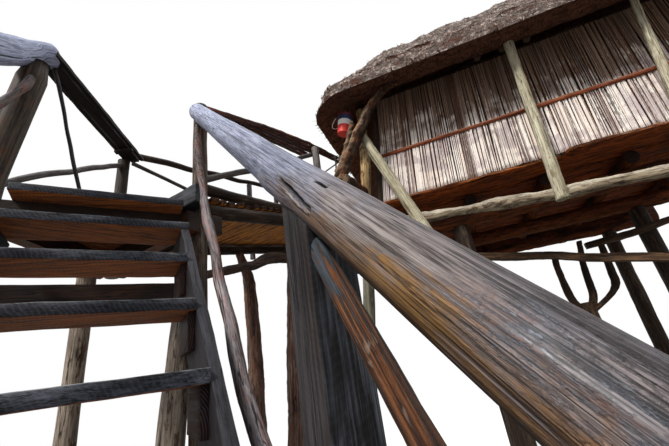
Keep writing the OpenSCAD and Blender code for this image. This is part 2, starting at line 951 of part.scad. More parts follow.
module eave_struts() {
    color("#b9b8a2")
        in_cabin_frame()
            difference() {
                union() {
                    bent_log([[392, strut_y, -560], [250, strut_y, -132], [100, strut_y, 318],
                              [-34, strut_y, 720]], [132, 130, 126, 122]);
                    bent_log([[1521, strut_y, -502], [1524, strut_y, -440], [1575, strut_y, 350],
                              [1633, strut_y, 1300]], [150, 130, 126, 118], true);
                    bent_log([[2478, strut_y, -560], [2570, strut_y, 340], [2662, strut_y, 1300]],
                             [132, 126, 118], true);
                }
                front_log(2 * seat);
                // The eave's underside
                rotate([90, 0, 90])
                    linear_extrude(cabin_l)
                        polygon([[-eave_out, soffit_z(eave_out) - seat], [0, soffit_z(0) - seat],
                                 [0, 3000], [-eave_out, 3000]]);
            }
}

module porch_log(grow = 0) {
    bent_log([[-215, 60, seat], [-188, 60, 167], [-130, 60, 517], [-95, 60, 800], [-72, 60, 1050],
              [-62, 60, wall_h - seat]],
             [for (w = [112, 118, 115, 100, 92, 86]) w + grow], true);
}

module porch_post() {
    color("#b3a27c") in_cabin_frame() porch_log();
}

// Sway braces on the posts' front faces: a squared pole in front, and behind it a squared beam
// whose left end lies on a forked trunk
sway_w = 68;
sway_y = beam_ys[0] - main_post_d / 2 - sway_w - seat;
trunk_y = beam_ys[1] - main_post_d / 2 - sway_w / 2 - seat;

module squared(p, q, w) {
    v = q - p;
    translate(p)
        rotate([0, -atan2(v.z, v.x), 0])
            translate([0, 0, -w / 2]) cube([norm(v), w, w]);
}

module sway_braces() {
    color("#4a3322")
        in_cabin_frame() {
            squared([560, sway_y, -654], [2840, sway_y, -1225], sway_w);
            squared([2020, trunk_y - sway_w / 2, -664], [3150, trunk_y - sway_w / 2, -548], sway_w);
            difference() {
                union() {
                    bent_log([[1850, trunk_y, -floor_z], [1815, trunk_y, -2400], [1790, trunk_y, -1396],
                              [1810, trunk_y, -1290]], [190, 170, 165, 140], true);
                    bent_log([[1780, trunk_y, -1450], [1678, trunk_y, -1244], [1664, trunk_y, -988],
                              [1667, trunk_y, -724]], [110, 92, 80, 66], true);
                    bent_log([[1800, trunk_y, -1420], [1890, trunk_y, -1214], [1907, trunk_y, -1080],
                              [1932, trunk_y, -827], [1975, trunk_y, -589]], [110, 88, 80, 70, 58], true);
                    bent_log([[1800, trunk_y, -1400], [2110, trunk_y, -1190], [2160, trunk_y, -980],
                              [2168, trunk_y, -650]], [110, 90, 78, 66], true);
                }
                squared([1990, trunk_y - sway_w / 2 - seat, -667], [3150, trunk_y - sway_w / 2 - seat, -548],
                        sway_w + 2 * seat);
            }
        }
}

// The cabin's frame of poles stands inside the reed walls, the left ones leaning with the wall
frame_d = 90;
frame_in = wall_t + frame_d / 2 + seat;
door_post_d = 80;
corner_pole_d = 76;
function lean_x(z) = wall_lean * z / wall_h;

module lean_pole(x, y, d) {
    over = d / wall_h;
    intersection() {
        pole([x, y, 0] - over * [wall_lean, 0, wall_h],
             [x, y, 0] + (1 + over) * [wall_lean, 0, wall_h], d, d);
        translate([x - 500, y - 500, seat]) cube([1500, 1000, wall_h - 2 * seat]);
    }
}

module wall_frame() {
    color("#5b4433")
        in_cabin_frame() {
            for (y = [frame_in, cabin_d - frame_in]) {
                lean_pole(frame_in + 1, y, frame_d);
                for (x = [cabin_l / 2, cabin_l - frame_in])
                    translate([x, y, 0]) cylinder(d = frame_d, h = wall_h - seat);
            }
            for (y = [door_y - 45, door_y + door_w + 45])
                lean_pole(wall_t + door_post_d / 2 + 1, y, door_post_d);
            // A dark pole outside the corner
            lean_pole(-corner_pole_d / 2 - 1, 22, corner_pole_d);
        }
}

// Reed walls, outer faces on the cabin's outline
door_y = 520;

// A wall along x, its left edge leaning
module long_wall(y) {
    color("#a58f7c")
        in_cabin_frame()
            translate([0, y + wall_t, 0])
                rotate([90, 0, 0])
                    linear_extrude(wall_t)
                        polygon([[0, 0], [cabin_l, 0], [cabin_l, wall_h], [wall_lean, wall_h]]);
}

// A leaning wall along y, from one height to another
module left_wall(y, len, low, high) {
    color("#a58f7c")
        in_cabin_frame()
            translate([0, y + len, 0])
                rotate([90, 0, 0])
                    linear_extrude(len)
                        polygon([[lean_x(low), low], [lean_x(low) + wall_t, low],
                                 [lean_x(high) + wall_t, high], [lean_x(high), high]]);
}

module front_wall() {
    long_wall(0);
}

module back_wall() {
    long_wall(cabin_d - wall_t);
}

module right_wall() {
    color("#a58f7c")
        in_cabin_frame()
            translate([cabin_l - wall_t, wall_t, 0]) cube([wall_t, cabin_d - 2 * wall_t, wall_h]);
}

module door_front_wall() {
    left_wall(wall_t, door_y - wall_t, 0, wall_h);
}

module door_back_wall() {
    left_wall(door_y + door_w, cabin_d - wall_t - door_y - door_w, 0, wall_h);
}

module door_head_wall() {
    left_wall(door_y, door_w, door_h, wall_h);
}

// Half-round battens hold the reeds and stop short of one another at the corners
batten_d = 46;
batten_z = 565;
batten_gap = 3;

module half_round(len) {
    rotate([90, 0, 90])
        linear_extrude(len)
            intersection() {
                circle(d = batten_d);
                translate([-batten_d, -batten_d]) square([batten_d, 2 * batten_d]);
            }
}

module wall_battens() {
    color("#7c3a22")
        in_cabin_frame() {
            start = lean_x(batten_z) + batten_gap;
            run = cabin_l - batten_gap - start;
            translate([start, 0, batten_z]) half_round(run);
            translate([cabin_l - batten_gap, cabin_d, batten_z]) rotate(180) half_round(run);
            translate([cabin_l, batten_gap, batten_z]) rotate(90) half_round(cabin_d - 2 * batten_gap);
            translate([lean_x(batten_z - batten_d / 2), cabin_d - batten_gap, batten_z])
                rotate(-90) half_round(cabin_d - batten_gap - door_y - door_w);
        }
}

// Plates on the frame, and the ridge pole
plate_d = 90;
ridge_d = 80;
rafter_d = 70;
rafter_lift = (plate_d + rafter_d) / 2 + seat;
thatch_lift = rafter_lift + rafter_d / 2 + 25;
ridge_x = cabin_d / 2;
function roof_z(y, lift) = wall_h + plate_d / 2 + lift / cos(roof_pitch) + (y - frame_in) * tan(roof_pitch);
ridge_z = roof_z(cabin_d / 2, rafter_lift);

module roof_plates() {
    color("#5d4a38")
        in_cabin_frame() {
            for (y = [frame_in, cabin_d - frame_in])
                pole([-100, y, wall_h + plate_d / 2], [cabin_l + 100, y, wall_h + plate_d / 2],
                     plate_d, plate_d);
            for (x = [frame_in + wall_lean, cabin_l - frame_in])
                pole([x, frame_in + plate_d / 2 + seat, wall_h + plate_d / 2],
                     [x, cabin_d - frame_in - plate_d / 2 - seat, wall_h + plate_d / 2], plate_d, plate_d);
            pole([ridge_x, cabin_d / 2, ridge_z], [cabin_l - ridge_x, cabin_d / 2, ridge_z],
                 ridge_d, ridge_d);
        }
}

rafter_foot = 190;

module rafter(len) {
    // Starts outside the plate and climbs to the ridge pole along +y
    translate([0, -rafter_foot, roof_z(-rafter_foot + frame_in, rafter_lift) - wall_h - plate_d / 2])
        rotate([-90 + roof_pitch, 0, 0])
            cylinder(d = rafter_d, h = len);
}

module rafters() {
    run = cabin_d / 2 - frame_in + rafter_foot;
    len = run / cos(roof_pitch) - ridge_d / 2 - seat;
    color("#6b543d")
        in_cabin_frame()
            for (x = [ridge_x, cabin_l / 2, cabin_l - ridge_x]) {
                translate([x, frame_in, wall_h + plate_d / 2]) rafter(len);
                translate([x, cabin_d - frame_in, wall_h + plate_d / 2]) rotate(180) rafter(len);
            }
}

// Height of the thatch's underside at a distance out from the wall
function soffit_z(out) = wall_h - eave_fall * out / eave_out;

// Thatch: a rounded hip roof over a hollow that follows the rafters
module rounded_plate(out, r, z) {
    for (x = [-out + r, cabin_l + out - r])
        for (y = [-out + r, cabin_d + out - r])
            translate([x, y, z]) cylinder(r = r, h = 1, $fn = 32);
}

module thatch_roof() {
    low = wall_h - eave_fall;
    top = low + thatch_t;
    crown = top + (eave_out - 60 + cabin_d / 2) * tan(roof_pitch) - 60;
    hollow_out = 190;
    hollow_top = roof_z(cabin_d / 2, thatch_lift);
    color("#6d5a4a")
        in_cabin_frame()
            difference() {
                hull() {
                    rounded_plate(eave_out, 450, low);
                    rounded_plate(eave_out - 20, 440, top - 120);
                    rounded_plate(eave_out - 90, 400, top);
                    for (x = [ridge_x, cabin_l - ridge_x])
                        translate([x, cabin_d / 2, crown - 140]) sphere(r = 140, $fn = 24);
                }
                hull() {
                    rounded_plate(hollow_out, 120, low - 10);
                    rounded_plate(hollow_out, 120, roof_z(-hollow_out, thatch_lift));
                    for (x = [ridge_x, cabin_l - ridge_x])
                        translate([x, cabin_d / 2, hollow_top - 40]) sphere(r = 40, $fn = 16);
                }
                hull() {
                    rounded_plate(eave_out - 25, 430, low - 2);
                    rounded_plate(hollow_out - 5, 120, soffit_z(hollow_out));
                }
            }
}

stair_stringers();
tread_cleats();
stair_treads();
stair_newels();
handrail_right();
handrail_left();
stair_braces();
bent_pole();
corner_post();
landing_posts();
landing_beams();
landing_deck();
landing_rail();
gangway_sill();
gangway_bearers();
gangway_laths();
gangway_kerbs();
gangway_near_rail();
gangway_far_rail();
rail_posts();
gangway_props();
rail_sticks();
tie_branch();
forked_branch();
pail();
front_posts();
sway_braces();
main_posts();
main_beams();
floor_joists();
floor_slabs();
front_beam();
eave_struts();
porch_post();
wall_frame();
front_wall();
back_wall();
right_wall();
door_front_wall();
door_back_wall();
door_head_wall();
wall_battens();
roof_plates();
rafters();
thatch_roof();
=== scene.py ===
"""Looks for the thatched tree house: weathered timber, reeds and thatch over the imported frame."""

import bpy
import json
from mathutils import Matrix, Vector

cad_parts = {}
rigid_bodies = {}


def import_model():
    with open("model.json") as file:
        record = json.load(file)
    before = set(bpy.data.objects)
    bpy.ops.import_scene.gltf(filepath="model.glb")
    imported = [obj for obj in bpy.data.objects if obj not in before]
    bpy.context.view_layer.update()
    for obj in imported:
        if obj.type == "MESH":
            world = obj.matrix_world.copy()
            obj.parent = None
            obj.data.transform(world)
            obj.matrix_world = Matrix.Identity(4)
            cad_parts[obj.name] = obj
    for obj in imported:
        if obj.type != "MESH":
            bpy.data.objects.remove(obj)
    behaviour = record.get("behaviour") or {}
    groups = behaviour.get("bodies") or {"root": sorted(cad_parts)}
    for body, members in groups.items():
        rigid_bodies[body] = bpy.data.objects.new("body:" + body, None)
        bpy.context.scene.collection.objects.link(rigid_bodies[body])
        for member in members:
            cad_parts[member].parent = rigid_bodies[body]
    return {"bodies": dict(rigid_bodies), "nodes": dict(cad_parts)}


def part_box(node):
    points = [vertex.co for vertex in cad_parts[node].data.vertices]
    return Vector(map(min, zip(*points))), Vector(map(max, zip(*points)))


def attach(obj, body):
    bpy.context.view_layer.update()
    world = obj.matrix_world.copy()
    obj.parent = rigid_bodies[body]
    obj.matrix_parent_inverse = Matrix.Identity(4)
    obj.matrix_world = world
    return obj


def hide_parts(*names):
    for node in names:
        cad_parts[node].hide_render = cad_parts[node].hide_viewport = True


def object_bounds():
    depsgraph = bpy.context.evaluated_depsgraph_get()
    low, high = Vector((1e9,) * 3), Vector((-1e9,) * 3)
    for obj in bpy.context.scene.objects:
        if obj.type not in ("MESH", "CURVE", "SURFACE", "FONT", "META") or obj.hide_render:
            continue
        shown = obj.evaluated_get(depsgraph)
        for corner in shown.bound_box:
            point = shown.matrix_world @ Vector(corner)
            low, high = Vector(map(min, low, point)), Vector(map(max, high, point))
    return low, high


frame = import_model()
CAD_BOX = [list(corner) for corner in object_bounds()]

import itertools
import json
import math

import bmesh
import bpy
import numpy as np
from bpy.props import FloatProperty, FloatVectorProperty, IntProperty, PointerProperty
from mathutils import Matrix, Vector

bl_info = {
    "name": "Thatched tree house",
    "version": (1, 0, 0),
    "blender": (4, 5, 0),
    "location": "3D View > Sidebar > Tree house",
    "description": "Weathered timber, reeds and thatch on the tree house's frame",
    "category": "Add Mesh",
}

BODY = next(iter(frame["bodies"]))
LOW, HIGH = np.array(CAD_BOX[0]), np.array(CAD_BOX[1])
HIGH_ROOF = np.array(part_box("thatch_roof")[1])
UP = np.array([0, 0, 1.0])
NOWHERE = np.zeros(3)

# The stair's own frame in the part's: its origin in millimetres and its turn
STAIR_ORIGIN = (877, 165)
STAIR_TURN = math.radians(50.7)
# The left post's foot in the stair's frame, and its top in metres
LEFT_POST, LEFT_POST_TOP = (-20, 165), 3.945
# How far the left wall leans in for each metre of height
WALL_LEAN = 0.173 / 1.33
# Mirror strength of dry wood, low so that the white surroundings do not bleach it
DRY_SHEEN = 0.18
# The camera: its place, its own axes in the part's frame, and its lens and sensor in millimetres
CAMERA_PLACE = (1.3785, -1.6101, 2.114)
CAMERA_RIGHT, CAMERA_UP = (0.9253, 0.3521, -0.1402), (0.2575, -0.3126, 0.9142)
CAMERA_BACK = (0.2781, -0.8821, -0.3803)
CAMERA_LENS, CAMERA_SENSOR = 18.645, 36.0
FLOOR_REACH, FLOOR_LEVEL = 90.0, -0.001
# In metres: how far the thatch is crowned and droops, and the rear beam is raised
ROOF_CROWN, ROOF_DROOP, BEAM_RISE = 0.235, 0.12, 0.11
# Outer, shaded and inner reeds: depth in the wall, sides and stations of each
REED_ROWS = ((0.0075, 7, 9), (0.022, 5, 4), (0.037, 6, 5))
# Where a dark stick and a dark post stand
DARK_STICK = (-0.506, -0.528)
DARK_POST = (-0.996, 0.221, 3.475)


# ---- colours and repeatable randomness


def paint(code):
    """Linear colour of a six-figure code"""
    parts = [int(code[i:i + 2], 16) / 255 for i in (0, 2, 4)]
    return tuple(c / 12.92 if c <= 0.04045 else ((c + 0.055) / 1.055) ** 2.4 for c in parts) + (1.0,)


def lattice(cells, seed):
    """Random numbers from -1 to 1 at whole-number places"""
    c = cells.astype(np.int64)
    h = (c[..., 0] * 374761393 + c[..., 1] * 668265263 + c[..., 2] * 461845907 + seed * 1274126177)
    h = (h & 0xFFFFFFFF) ^ ((h & 0xFFFFFFFF) >> 13)
    h = (h * 1103515245) & 0xFFFFFFFF
    h = h ^ (h >> 16)
    return (h & 0xFFFF) / 32767.5 - 1


def ease(share):
    """0 to 1 with a soft start and end"""
    return share * share * (3 - 2 * share)


def swell(points, seed):
    """Smooth noise from -1 to 1 over points"""
    base = np.floor(points)
    f = ease(points - base)
    total = np.zeros(len(points))
    for corner in itertools.product((0, 1), repeat=3):
        share = np.prod(np.where(corner, f, 1 - f), axis=1)
        total += share * lattice(base + np.array(corner), seed)
    return total


# ---- shader writing


class Wire:
    """A socket on which plain arithmetic adds the matching nodes"""

    def __init__(self, look, socket):
        self.look = look
        self.socket = socket

    def __add__(self, other):
        return self.look.math("ADD", self, other)

    __radd__ = __add__

    def __mul__(self, other):
        return self.look.math("MULTIPLY", self, other)

    __rmul__ = __mul__

    def __sub__(self, other):
        return self.look.math("SUBTRACT", self, other)

    def __rsub__(self, other):
        return self.look.math("SUBTRACT", other, self)

    def __abs__(self):
        return self.look.math("ABSOLUTE", self)


class Look:
    """A material and the few ways its nodes are made"""

    def __init__(self, name):
        self.material = bpy.data.materials.new(name)
        self.material.use_nodes = True
        self.tree = self.material.node_tree
        self.tree.nodes.clear()

    def node(self, kind, settings=None, sockets=None):
        """Adds a node: its settings first, then the values or links of its sockets"""
        made = self.tree.nodes.new(kind)
        for key, value in (settings or {}).items():
            setattr(made, key, value)
        for key, value in (sockets or {}).items():
            if isinstance(value, Wire):
                self.tree.links.new(value.socket, made.inputs[key])
            elif value is not None:
                made.inputs[key].default_value = value
        return made

    def out(self, made, key=0):
        """A node's output, ready for arithmetic"""
        return Wire(self, made.outputs[key])

    def geometry(self, key):
        return self.out(self.node("ShaderNodeNewGeometry"), key)

    def rise(self, vector):
        """The third part of a vector"""
        return self.out(self.node("ShaderNodeSeparateXYZ", {}, {0: vector}), 2)

    def math(self, operation, *values, clamp=False):
        return self.out(self.node("ShaderNodeMath", {"operation": operation, "use_clamp": clamp},
                                  dict(enumerate(values))))

    def vector(self, operation, *values, key=0):
        return self.out(self.node("ShaderNodeVectorMath", {"operation": operation},
                                  dict(enumerate(values))), key)

    def mix(self, share, first, second):
        """Blends two colours, each a socket, a tuple or a six-figure code"""
        first, second = (paint(c) if isinstance(c, str) else c for c in (first, second))
        return self.out(self.node("ShaderNodeMix", {"data_type": "RGBA", "blend_type": "MIX"},
                                  {0: share, 6: first, 7: second}), 2)

    def coats(self, grain, colour, *layers):
        """Lays layers of (share, dark, light) or (share, colour) over a colour"""
        for share, *tones in layers:
            over = self.mix(grain, *tones) if len(tones) == 2 else tones[0]
            colour = self.mix(share, colour, over)
        return colour

    def span(self, value, low, high):
        """0 below low, 1 above high, smooth between"""
        return self.out(self.node("ShaderNodeMapRange", {"interpolation_type": "SMOOTHSTEP"},
                                  {0: value, 1: low, 2: high, 3: 0.0, 4: 1.0}))

    def noise(self, place, scale, detail=2.0, rough=0.5, twist=0.0):
        """Noise from 0 to 1, its scale given for each of the place's three parts"""
        stretched = self.vector("MULTIPLY", place, tuple(scale))
        return self.out(self.node("ShaderNodeTexNoise", {}, {
            "Vector": stretched, "Scale": 1.0, "Detail": detail, "Roughness": rough,
            "Distortion": twist}))

    def ridge(self, place, scale, detail=1.0, twist=0.0):
        """1 on thin wandering lines, less between them"""
        return 1 - abs(self.noise(place, scale, detail, 0.5, twist) * 2 - 1)

    def attribute(self, name, key="Vector"):
        return self.out(self.node("ShaderNodeAttribute", {"attribute_name": name}), key)

    def facing(self, direction):
        """How far the surface faces a direction, -1 to 1"""
        unit = tuple(Vector(direction).normalized())
        return self.vector("DOT_PRODUCT", self.geometry("Normal"), unit, key=1)

    def finish(self, colour, roughness, height, depth, coat=0.0, specular=0.5, coat_rough=0.2):
        """The surface with its bumps, depth metres high, and the finished material"""
        bump = self.node("ShaderNodeBump", {}, {"Strength": 1.0, "Distance": depth, "Height": height})
        shader = self.node("ShaderNodeBsdfPrincipled", {}, {
            "Base Color": colour, "Roughness": roughness, "Coat Weight": coat,
            "Coat Roughness": coat_rough, "Specular IOR Level": specular, "Normal": self.out(bump)})
        self.node("ShaderNodeOutputMaterial", {}, {"Surface": self.out(shader)})
        return self.material


def timber(name, light, body, dark, *, warm=None, warm_low=-0.2, warm_high=-0.8, bleach=None,
           bleach_share=0.6, broad=2.2, fibre=95.0, patches=0.35, knots=0.0, cracks=0.5, saw=0.0,
           rough=0.72, depth=0.0016, ends=1.0, bark=None, bark_share=0.5, scuffs=0.0,
           painted_side_light=None, streaks=0.4, end_shade=None):
    """Old wood: fibres along each piece, blotches, cracks, bleached upper and warm under sides, and
    painted light on one side, turned to a given source
    """
    look = Look(name)
    place = look.attribute("grain")
    tone = look.attribute("tone", "Fac")
    fibres = look.noise(place, (fibre, fibre, 3.2), 4.0, 0.65, 0.35)
    hairs = look.noise(place, (fibre * 4.5, fibre * 4.5, 12.0), 3.0, 0.65)
    blotch = look.noise(place, (11.0, 11.0, broad), 4.0, 0.6, 0.8)
    spots = look.noise(place, (48.0, 48.0, 17.0), 4.0, 0.65, 0.5)
    grain = look.span(fibres * 0.5 + hairs * 0.3 + spots * 0.2, 0.39, 0.61)
    pale = look.mix(grain, body, light)
    blotchy = look.span(blotch + tone * 0.25 - 0.12, 0.5 - patches * 0.4, 0.82) * 0.85
    colour = look.coats(
        grain, look.mix(grain, dark, body), (blotchy, pale),
        (look.span(1 - blotch, 0.5, 0.74) * patches, dark),
        # A tone above 1 makes a solid lighter, and one below 0 darker
        (look.span(tone, 1.0, 2.0), pale),
        (look.span(0 - tone, 0.0, 1.0) * 0.9, (0, 0, 0, 1), dark))
    # Painted light: faces turned to the given source are painted towards a lighter colour
    if painted_side_light:
        source, lit_colour, share = painted_side_light
        lit = look.span(look.facing(source) + (spots - 0.5) * 0.5, 0.1, 0.75)
        colour = look.coats(grain, colour, (lit * share, body, lit_colour))
    if warm:
        under = look.span(0 - look.facing(UP), -warm_low, -warm_high)
        colour = look.coats(grain, colour, (under * 0.9, warm[1], warm[0]))
    if bark:
        flakes = look.noise(place, (26.0, 26.0, 8.0), 4.0, 0.65, 1.0)
        cover = look.span(flakes, 0.62 - bark_share * 0.25, 0.68 - bark_share * 0.25)
        colour = look.coats(grain, colour, (cover * 0.85, bark[1], bark[0]))
    if bleach:
        up = look.span(look.facing((-0.15, -0.3, 0.95)), 0.05, 0.85)
        bare = look.span(hairs * 0.5 + fibres * 0.5, 0.34, 0.56)
        colour = look.mix(up * bare * bleach_share, colour, bleach)
    stripes = look.noise(place, (fibre * 0.7, fibre * 0.7, 1.5), 3.0, 0.6, 0.5)
    colour = look.mix(look.span(stripes, 0.56, 0.7) * streaks, colour, dark)
    lines = look.span(look.ridge(place, (34.0, 34.0, 1.3), 2.0, 0.3), 0.965, 0.995)
    height = fibres * 0.5 + hairs * 0.35 + blotch * 0.5 + spots * 0.3 - lines * (1.6 * cracks)
    colour = look.mix(lines * cracks, colour, "0b0908")
    if scuffs:
        scratch = look.span(look.noise(place, (240.0, 240.0, 7.0), 2.0, 0.7, 1.2), 0.66, 0.74)
        colour = look.mix(scratch * scuffs, colour, light)
    if knots:
        cells = look.node("ShaderNodeTexVoronoi", {"feature": "F1"},
                          {"Vector": look.vector("MULTIPLY", place, (9.0, 9.0, 3.0)), "Scale": 1.0})
        knot = 1 - look.span(look.out(cells), 0.05, 0.16 * knots + 0.06)
        colour = look.mix(knot * 0.85, colour, dark)
        height = height + knot * 0.6
    if saw:
        run = look.vector("DOT_PRODUCT", place, (150.0, 260.0, 400.0), key=1)
        strokes = look.math("SINE", run + look.noise(place, (26, 26, 9), 3.0) * 14)
        strokes = look.span(strokes * (0.3 + spots * 1.3), 0.1, 0.9)
        colour = look.mix(strokes * saw, colour, light)
        height = height + strokes * 0.5 * saw
    across = look.vector("DOT_PRODUCT", look.geometry("True Normal"), look.attribute("run"), key=1)
    cut = look.span(abs(across), 0.86, 0.93)
    flat = look.vector("MULTIPLY", place, (1, 1, 0))
    away = look.vector("LENGTH", look.vector("SUBTRACT", flat, look.attribute("heart")), key=1)
    rings = look.math("SINE", away * 900 + look.noise(flat, (30, 30, 30), 2.0) * 6)
    face = look.mix(look.span(rings, -0.6, 0.9), dark, end_shade or light)
    colour = look.mix(cut * 0.8 * ends, colour, face)
    roughness = look.math("ADD", rough - 0.14, grain * 0.2 + tone * 0.06, clamp=True)
    return look.finish(colour, roughness, height, depth, specular=DRY_SHEEN)


# ---- making pieces from the frame's solids


def islands(node):
    """The separate solids of a CAD node, each as points and faces"""
    bm = bmesh.new()
    bm.from_mesh(frame["nodes"][node].data)
    bmesh.ops.remove_doubles(bm, verts=bm.verts[:], dist=2e-5)
    seen, found = set(), []
    for start in bm.verts:
        if start.index in seen or not start.link_faces:
            continue
        seen.add(start.index)
        queue, group = [start], []
        while queue:
            vert = queue.pop()
            group.append(vert)
            for edge in vert.link_edges:
                other = edge.other_vert(vert)
                if other.index not in seen:
                    seen.add(other.index)
                    queue.append(other)
        group.sort(key=lambda v: v.index)
        place = {v.index: i for i, v in enumerate(group)}
        faces = sorted({f.index for v in group for f in v.link_faces})
        bm.faces.ensure_lookup_table()
        found.append((np.array([v.co[:] for v in group]),
                      [[place[v.index] for v in bm.faces[i].verts] for i in faces]))
    bm.free()
    found.sort(key=lambda s: tuple(np.round(s[0].mean(0), 4)))
    return found


def own_axes(points, faces):
    """Rows: across, thickness, along a solid, and its middle"""
    a, b, c = (points[[f[i] for f in faces]] for i in range(3))
    cross = np.cross(b - a, c - a) / 2
    area = np.linalg.norm(cross, axis=1)
    centre = (a + b + c) / 3
    weight = area / area.sum()
    mean = (centre * weight[:, None]).sum(0)
    spread = ((centre - mean) * weight[:, None]).T @ (centre - mean)
    along = np.linalg.eigh(spread)[1][:, -1]
    flat = cross - np.outer(cross @ along, along)
    best, best_area = None, -1
    for n in flat[np.argsort(-np.linalg.norm(flat, axis=1))[:24]]:
        size = np.linalg.norm(n)
        if size > 1e-12:
            match = np.abs(cross @ n) / size
            score = match[match > 0.98 * area].sum()
            if score > best_area:
                best, best_area = n / size, score
    along = along * np.sign(along[np.argmax(np.abs(along))])
    best = best * np.sign(best[np.argmax(np.abs(best))])
    return np.array([np.cross(best, along), best, along]), mean


def cut_fine(points, faces, axes, steps, bevel=0.0):
    """The solid as a mesh with cuts across each of its axes"""
    bm = bmesh.new()
    verts = [bm.verts.new(p) for p in points]
    for f in faces:
        bm.faces.new([verts[i] for i in f])
    bmesh.ops.recalc_face_normals(bm, faces=bm.faces[:])
    bmesh.ops.dissolve_limit(bm, angle_limit=math.radians(0.6), verts=bm.verts[:], edges=bm.edges[:])
    if bevel:
        sharp = [e for e in bm.edges if len(e.link_faces) == 2 and e.calc_face_angle(0) > 0.7]
        bmesh.ops.bevel(bm, geom=sharp, offset=bevel, segments=2, profile=0.5, affect="EDGES",
                        clamp_overlap=True)
    for axis, step in zip(axes, steps):
        if not step:
            continue
        reach = np.array([v.co[:] for v in bm.verts]) @ axis
        low, high = reach.min(), reach.max()
        count = int(round((high - low) / step))
        for i in range(1, count):
            level = low + (high - low) * i / count
            bmesh.ops.bisect_plane(bm, geom=bm.verts[:] + bm.edges[:] + bm.faces[:], dist=1e-5,
                                   plane_co=Vector(axis * level), plane_no=Vector(axis))
    bmesh.ops.triangulate(bm, faces=[f for f in bm.faces if len(f.verts) > 4])
    bm.normal_update()
    bm.verts.index_update()
    co = np.array([v.co[:] for v in bm.verts])
    normal = np.array([v.normal[:] for v in bm.verts])
    polys = [[v.index for v in f.verts] for f in bm.faces]
    bm.free()
    return co, normal, polys


class Heap:
    """Gathers many solids into one mesh with what the materials read"""

    def __init__(self):
        self.points, self.faces, self.grain, self.tone, self.run, self.heart = [], [], [], [], [], []
        self.count = 0

    def add(self, points, faces, grain, tone, run, heart):
        n = len(points)
        self.points.append(points)
        if isinstance(faces, np.ndarray):
            self.faces.extend((faces + self.count).tolist())
        else:
            self.faces.extend([[i + self.count for i in f] for f in faces])
        self.grain.append(grain)
        self.tone.append(np.broadcast_to(np.asarray(tone, float), (n,)))
        self.run.append(np.broadcast_to(run, (n, 3)))
        self.heart.append(np.broadcast_to(heart, (n, 3)))
        self.count += n

    def piece(self, name, material, nodes, smooth=42):
        points = np.clip(np.concatenate(self.points), LOW, HIGH)
        mesh = bpy.data.meshes.new(name)
        mesh.from_pydata(points.tolist(), [], self.faces)
        for key, kind, field, values in (("grain", "FLOAT_VECTOR", "vector", self.grain),
                                         ("tone", "FLOAT", "value", self.tone),
                                         ("run", "FLOAT_VECTOR", "vector", self.run),
                                         ("heart", "FLOAT_VECTOR", "vector", self.heart)):
            data = np.concatenate(values).astype(np.float32).ravel()
            mesh.attributes.new(key, kind, "POINT").data.foreach_set(field, data)
        mesh.polygons.foreach_set("use_smooth", [True] * len(mesh.polygons))
        if smooth:
            mesh.set_sharp_from_angle(angle=math.radians(smooth))
        mesh.materials.append(material)
        made = bpy.data.objects.new(name, mesh)
        bpy.context.scene.collection.objects.link(made)
        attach(made, BODY)
        if nodes:
            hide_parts(*nodes)
        return made


def flank(normal, axes):
    """1 on a log's side, 0 on its sawn ends"""
    return np.clip(1.3 - 1.6 * np.abs(normal @ axes[2]), 0, 1)


def log_shape(points, normal, place, axes, seed, lumps, ragged=0.0):
    """Moves a log's surface as growth and drying do, and leaves its sawn ends flat"""
    bulge = swell(place * (3, 3, 3.1), seed) * 0.42 + swell(place * (11, 11, 7), seed + 1) * 0.3
    flute = swell(place * (45, 45, 2.5), seed + 2) * 0.28
    move = (bulge + flute) * lumps
    if ragged:
        torn = swell(place * (34, 34, 13), seed + 3) + swell(place * (90, 90, 40), seed + 4) * 0.5
        move = move + torn * ragged
    return points + normal * (move * flank(normal, axes))[:, None]


def wander(points, place, axes, seed, reach):
    """Bends a pole a little this way and that, less at its ends"""
    z = place[:, 2]
    free = np.clip(np.minimum(z - z.min(), z.max() - z) / 0.25, 0, 1)
    line = np.stack([z * 0, z * 0, z * 3.2], 1)
    fast = line * 2.7
    a = swell(line, seed + 5) + swell(fast, seed + 6) * 0.35
    b = swell(line + 9.5, seed + 7) + swell(fast + 4.5, seed + 8) * 0.35
    return points + ((a * free)[:, None] * axes[0] + (b * free)[:, None] * axes[1]) * reach


def logs(name, node, material, pitch=0.035, lumps=0.006, seed=1, shaped=None, tones=None,
         ragged=0.0, bend=0.0, grow=0.0):
    """Round timber: each of the node's solids with its bumps and flutes"""
    heap = Heap()
    for i, (points, faces) in enumerate(islands(node)):
        axes, middle = own_axes(points, faces)
        co, normal, polys = cut_fine(points, faces, axes, (0, 0, pitch))
        place = (co - middle) @ axes.T
        shift = np.array([0.31, 0.17, 1.7]) * (i + 1) + seed * 0.37
        moved = log_shape(co, normal, place + shift, axes, seed * 17 + i, lumps, ragged)
        if grow:
            moved = moved + normal * (grow * flank(normal, axes))[:, None]
        if bend:
            moved = wander(moved, place, axes, seed * 31 + i, bend)
        if shaped:
            moved = shaped(moved, normal, place, axes, middle)
        tone = tones(middle) if tones else (lattice(np.array([i, seed, 3]), 5) + 1) / 2
        heap.add(moved, polys, place + shift, tone, axes[2], np.array([shift[0], shift[1], 0]))
    return heap.piece(name, material, [node])


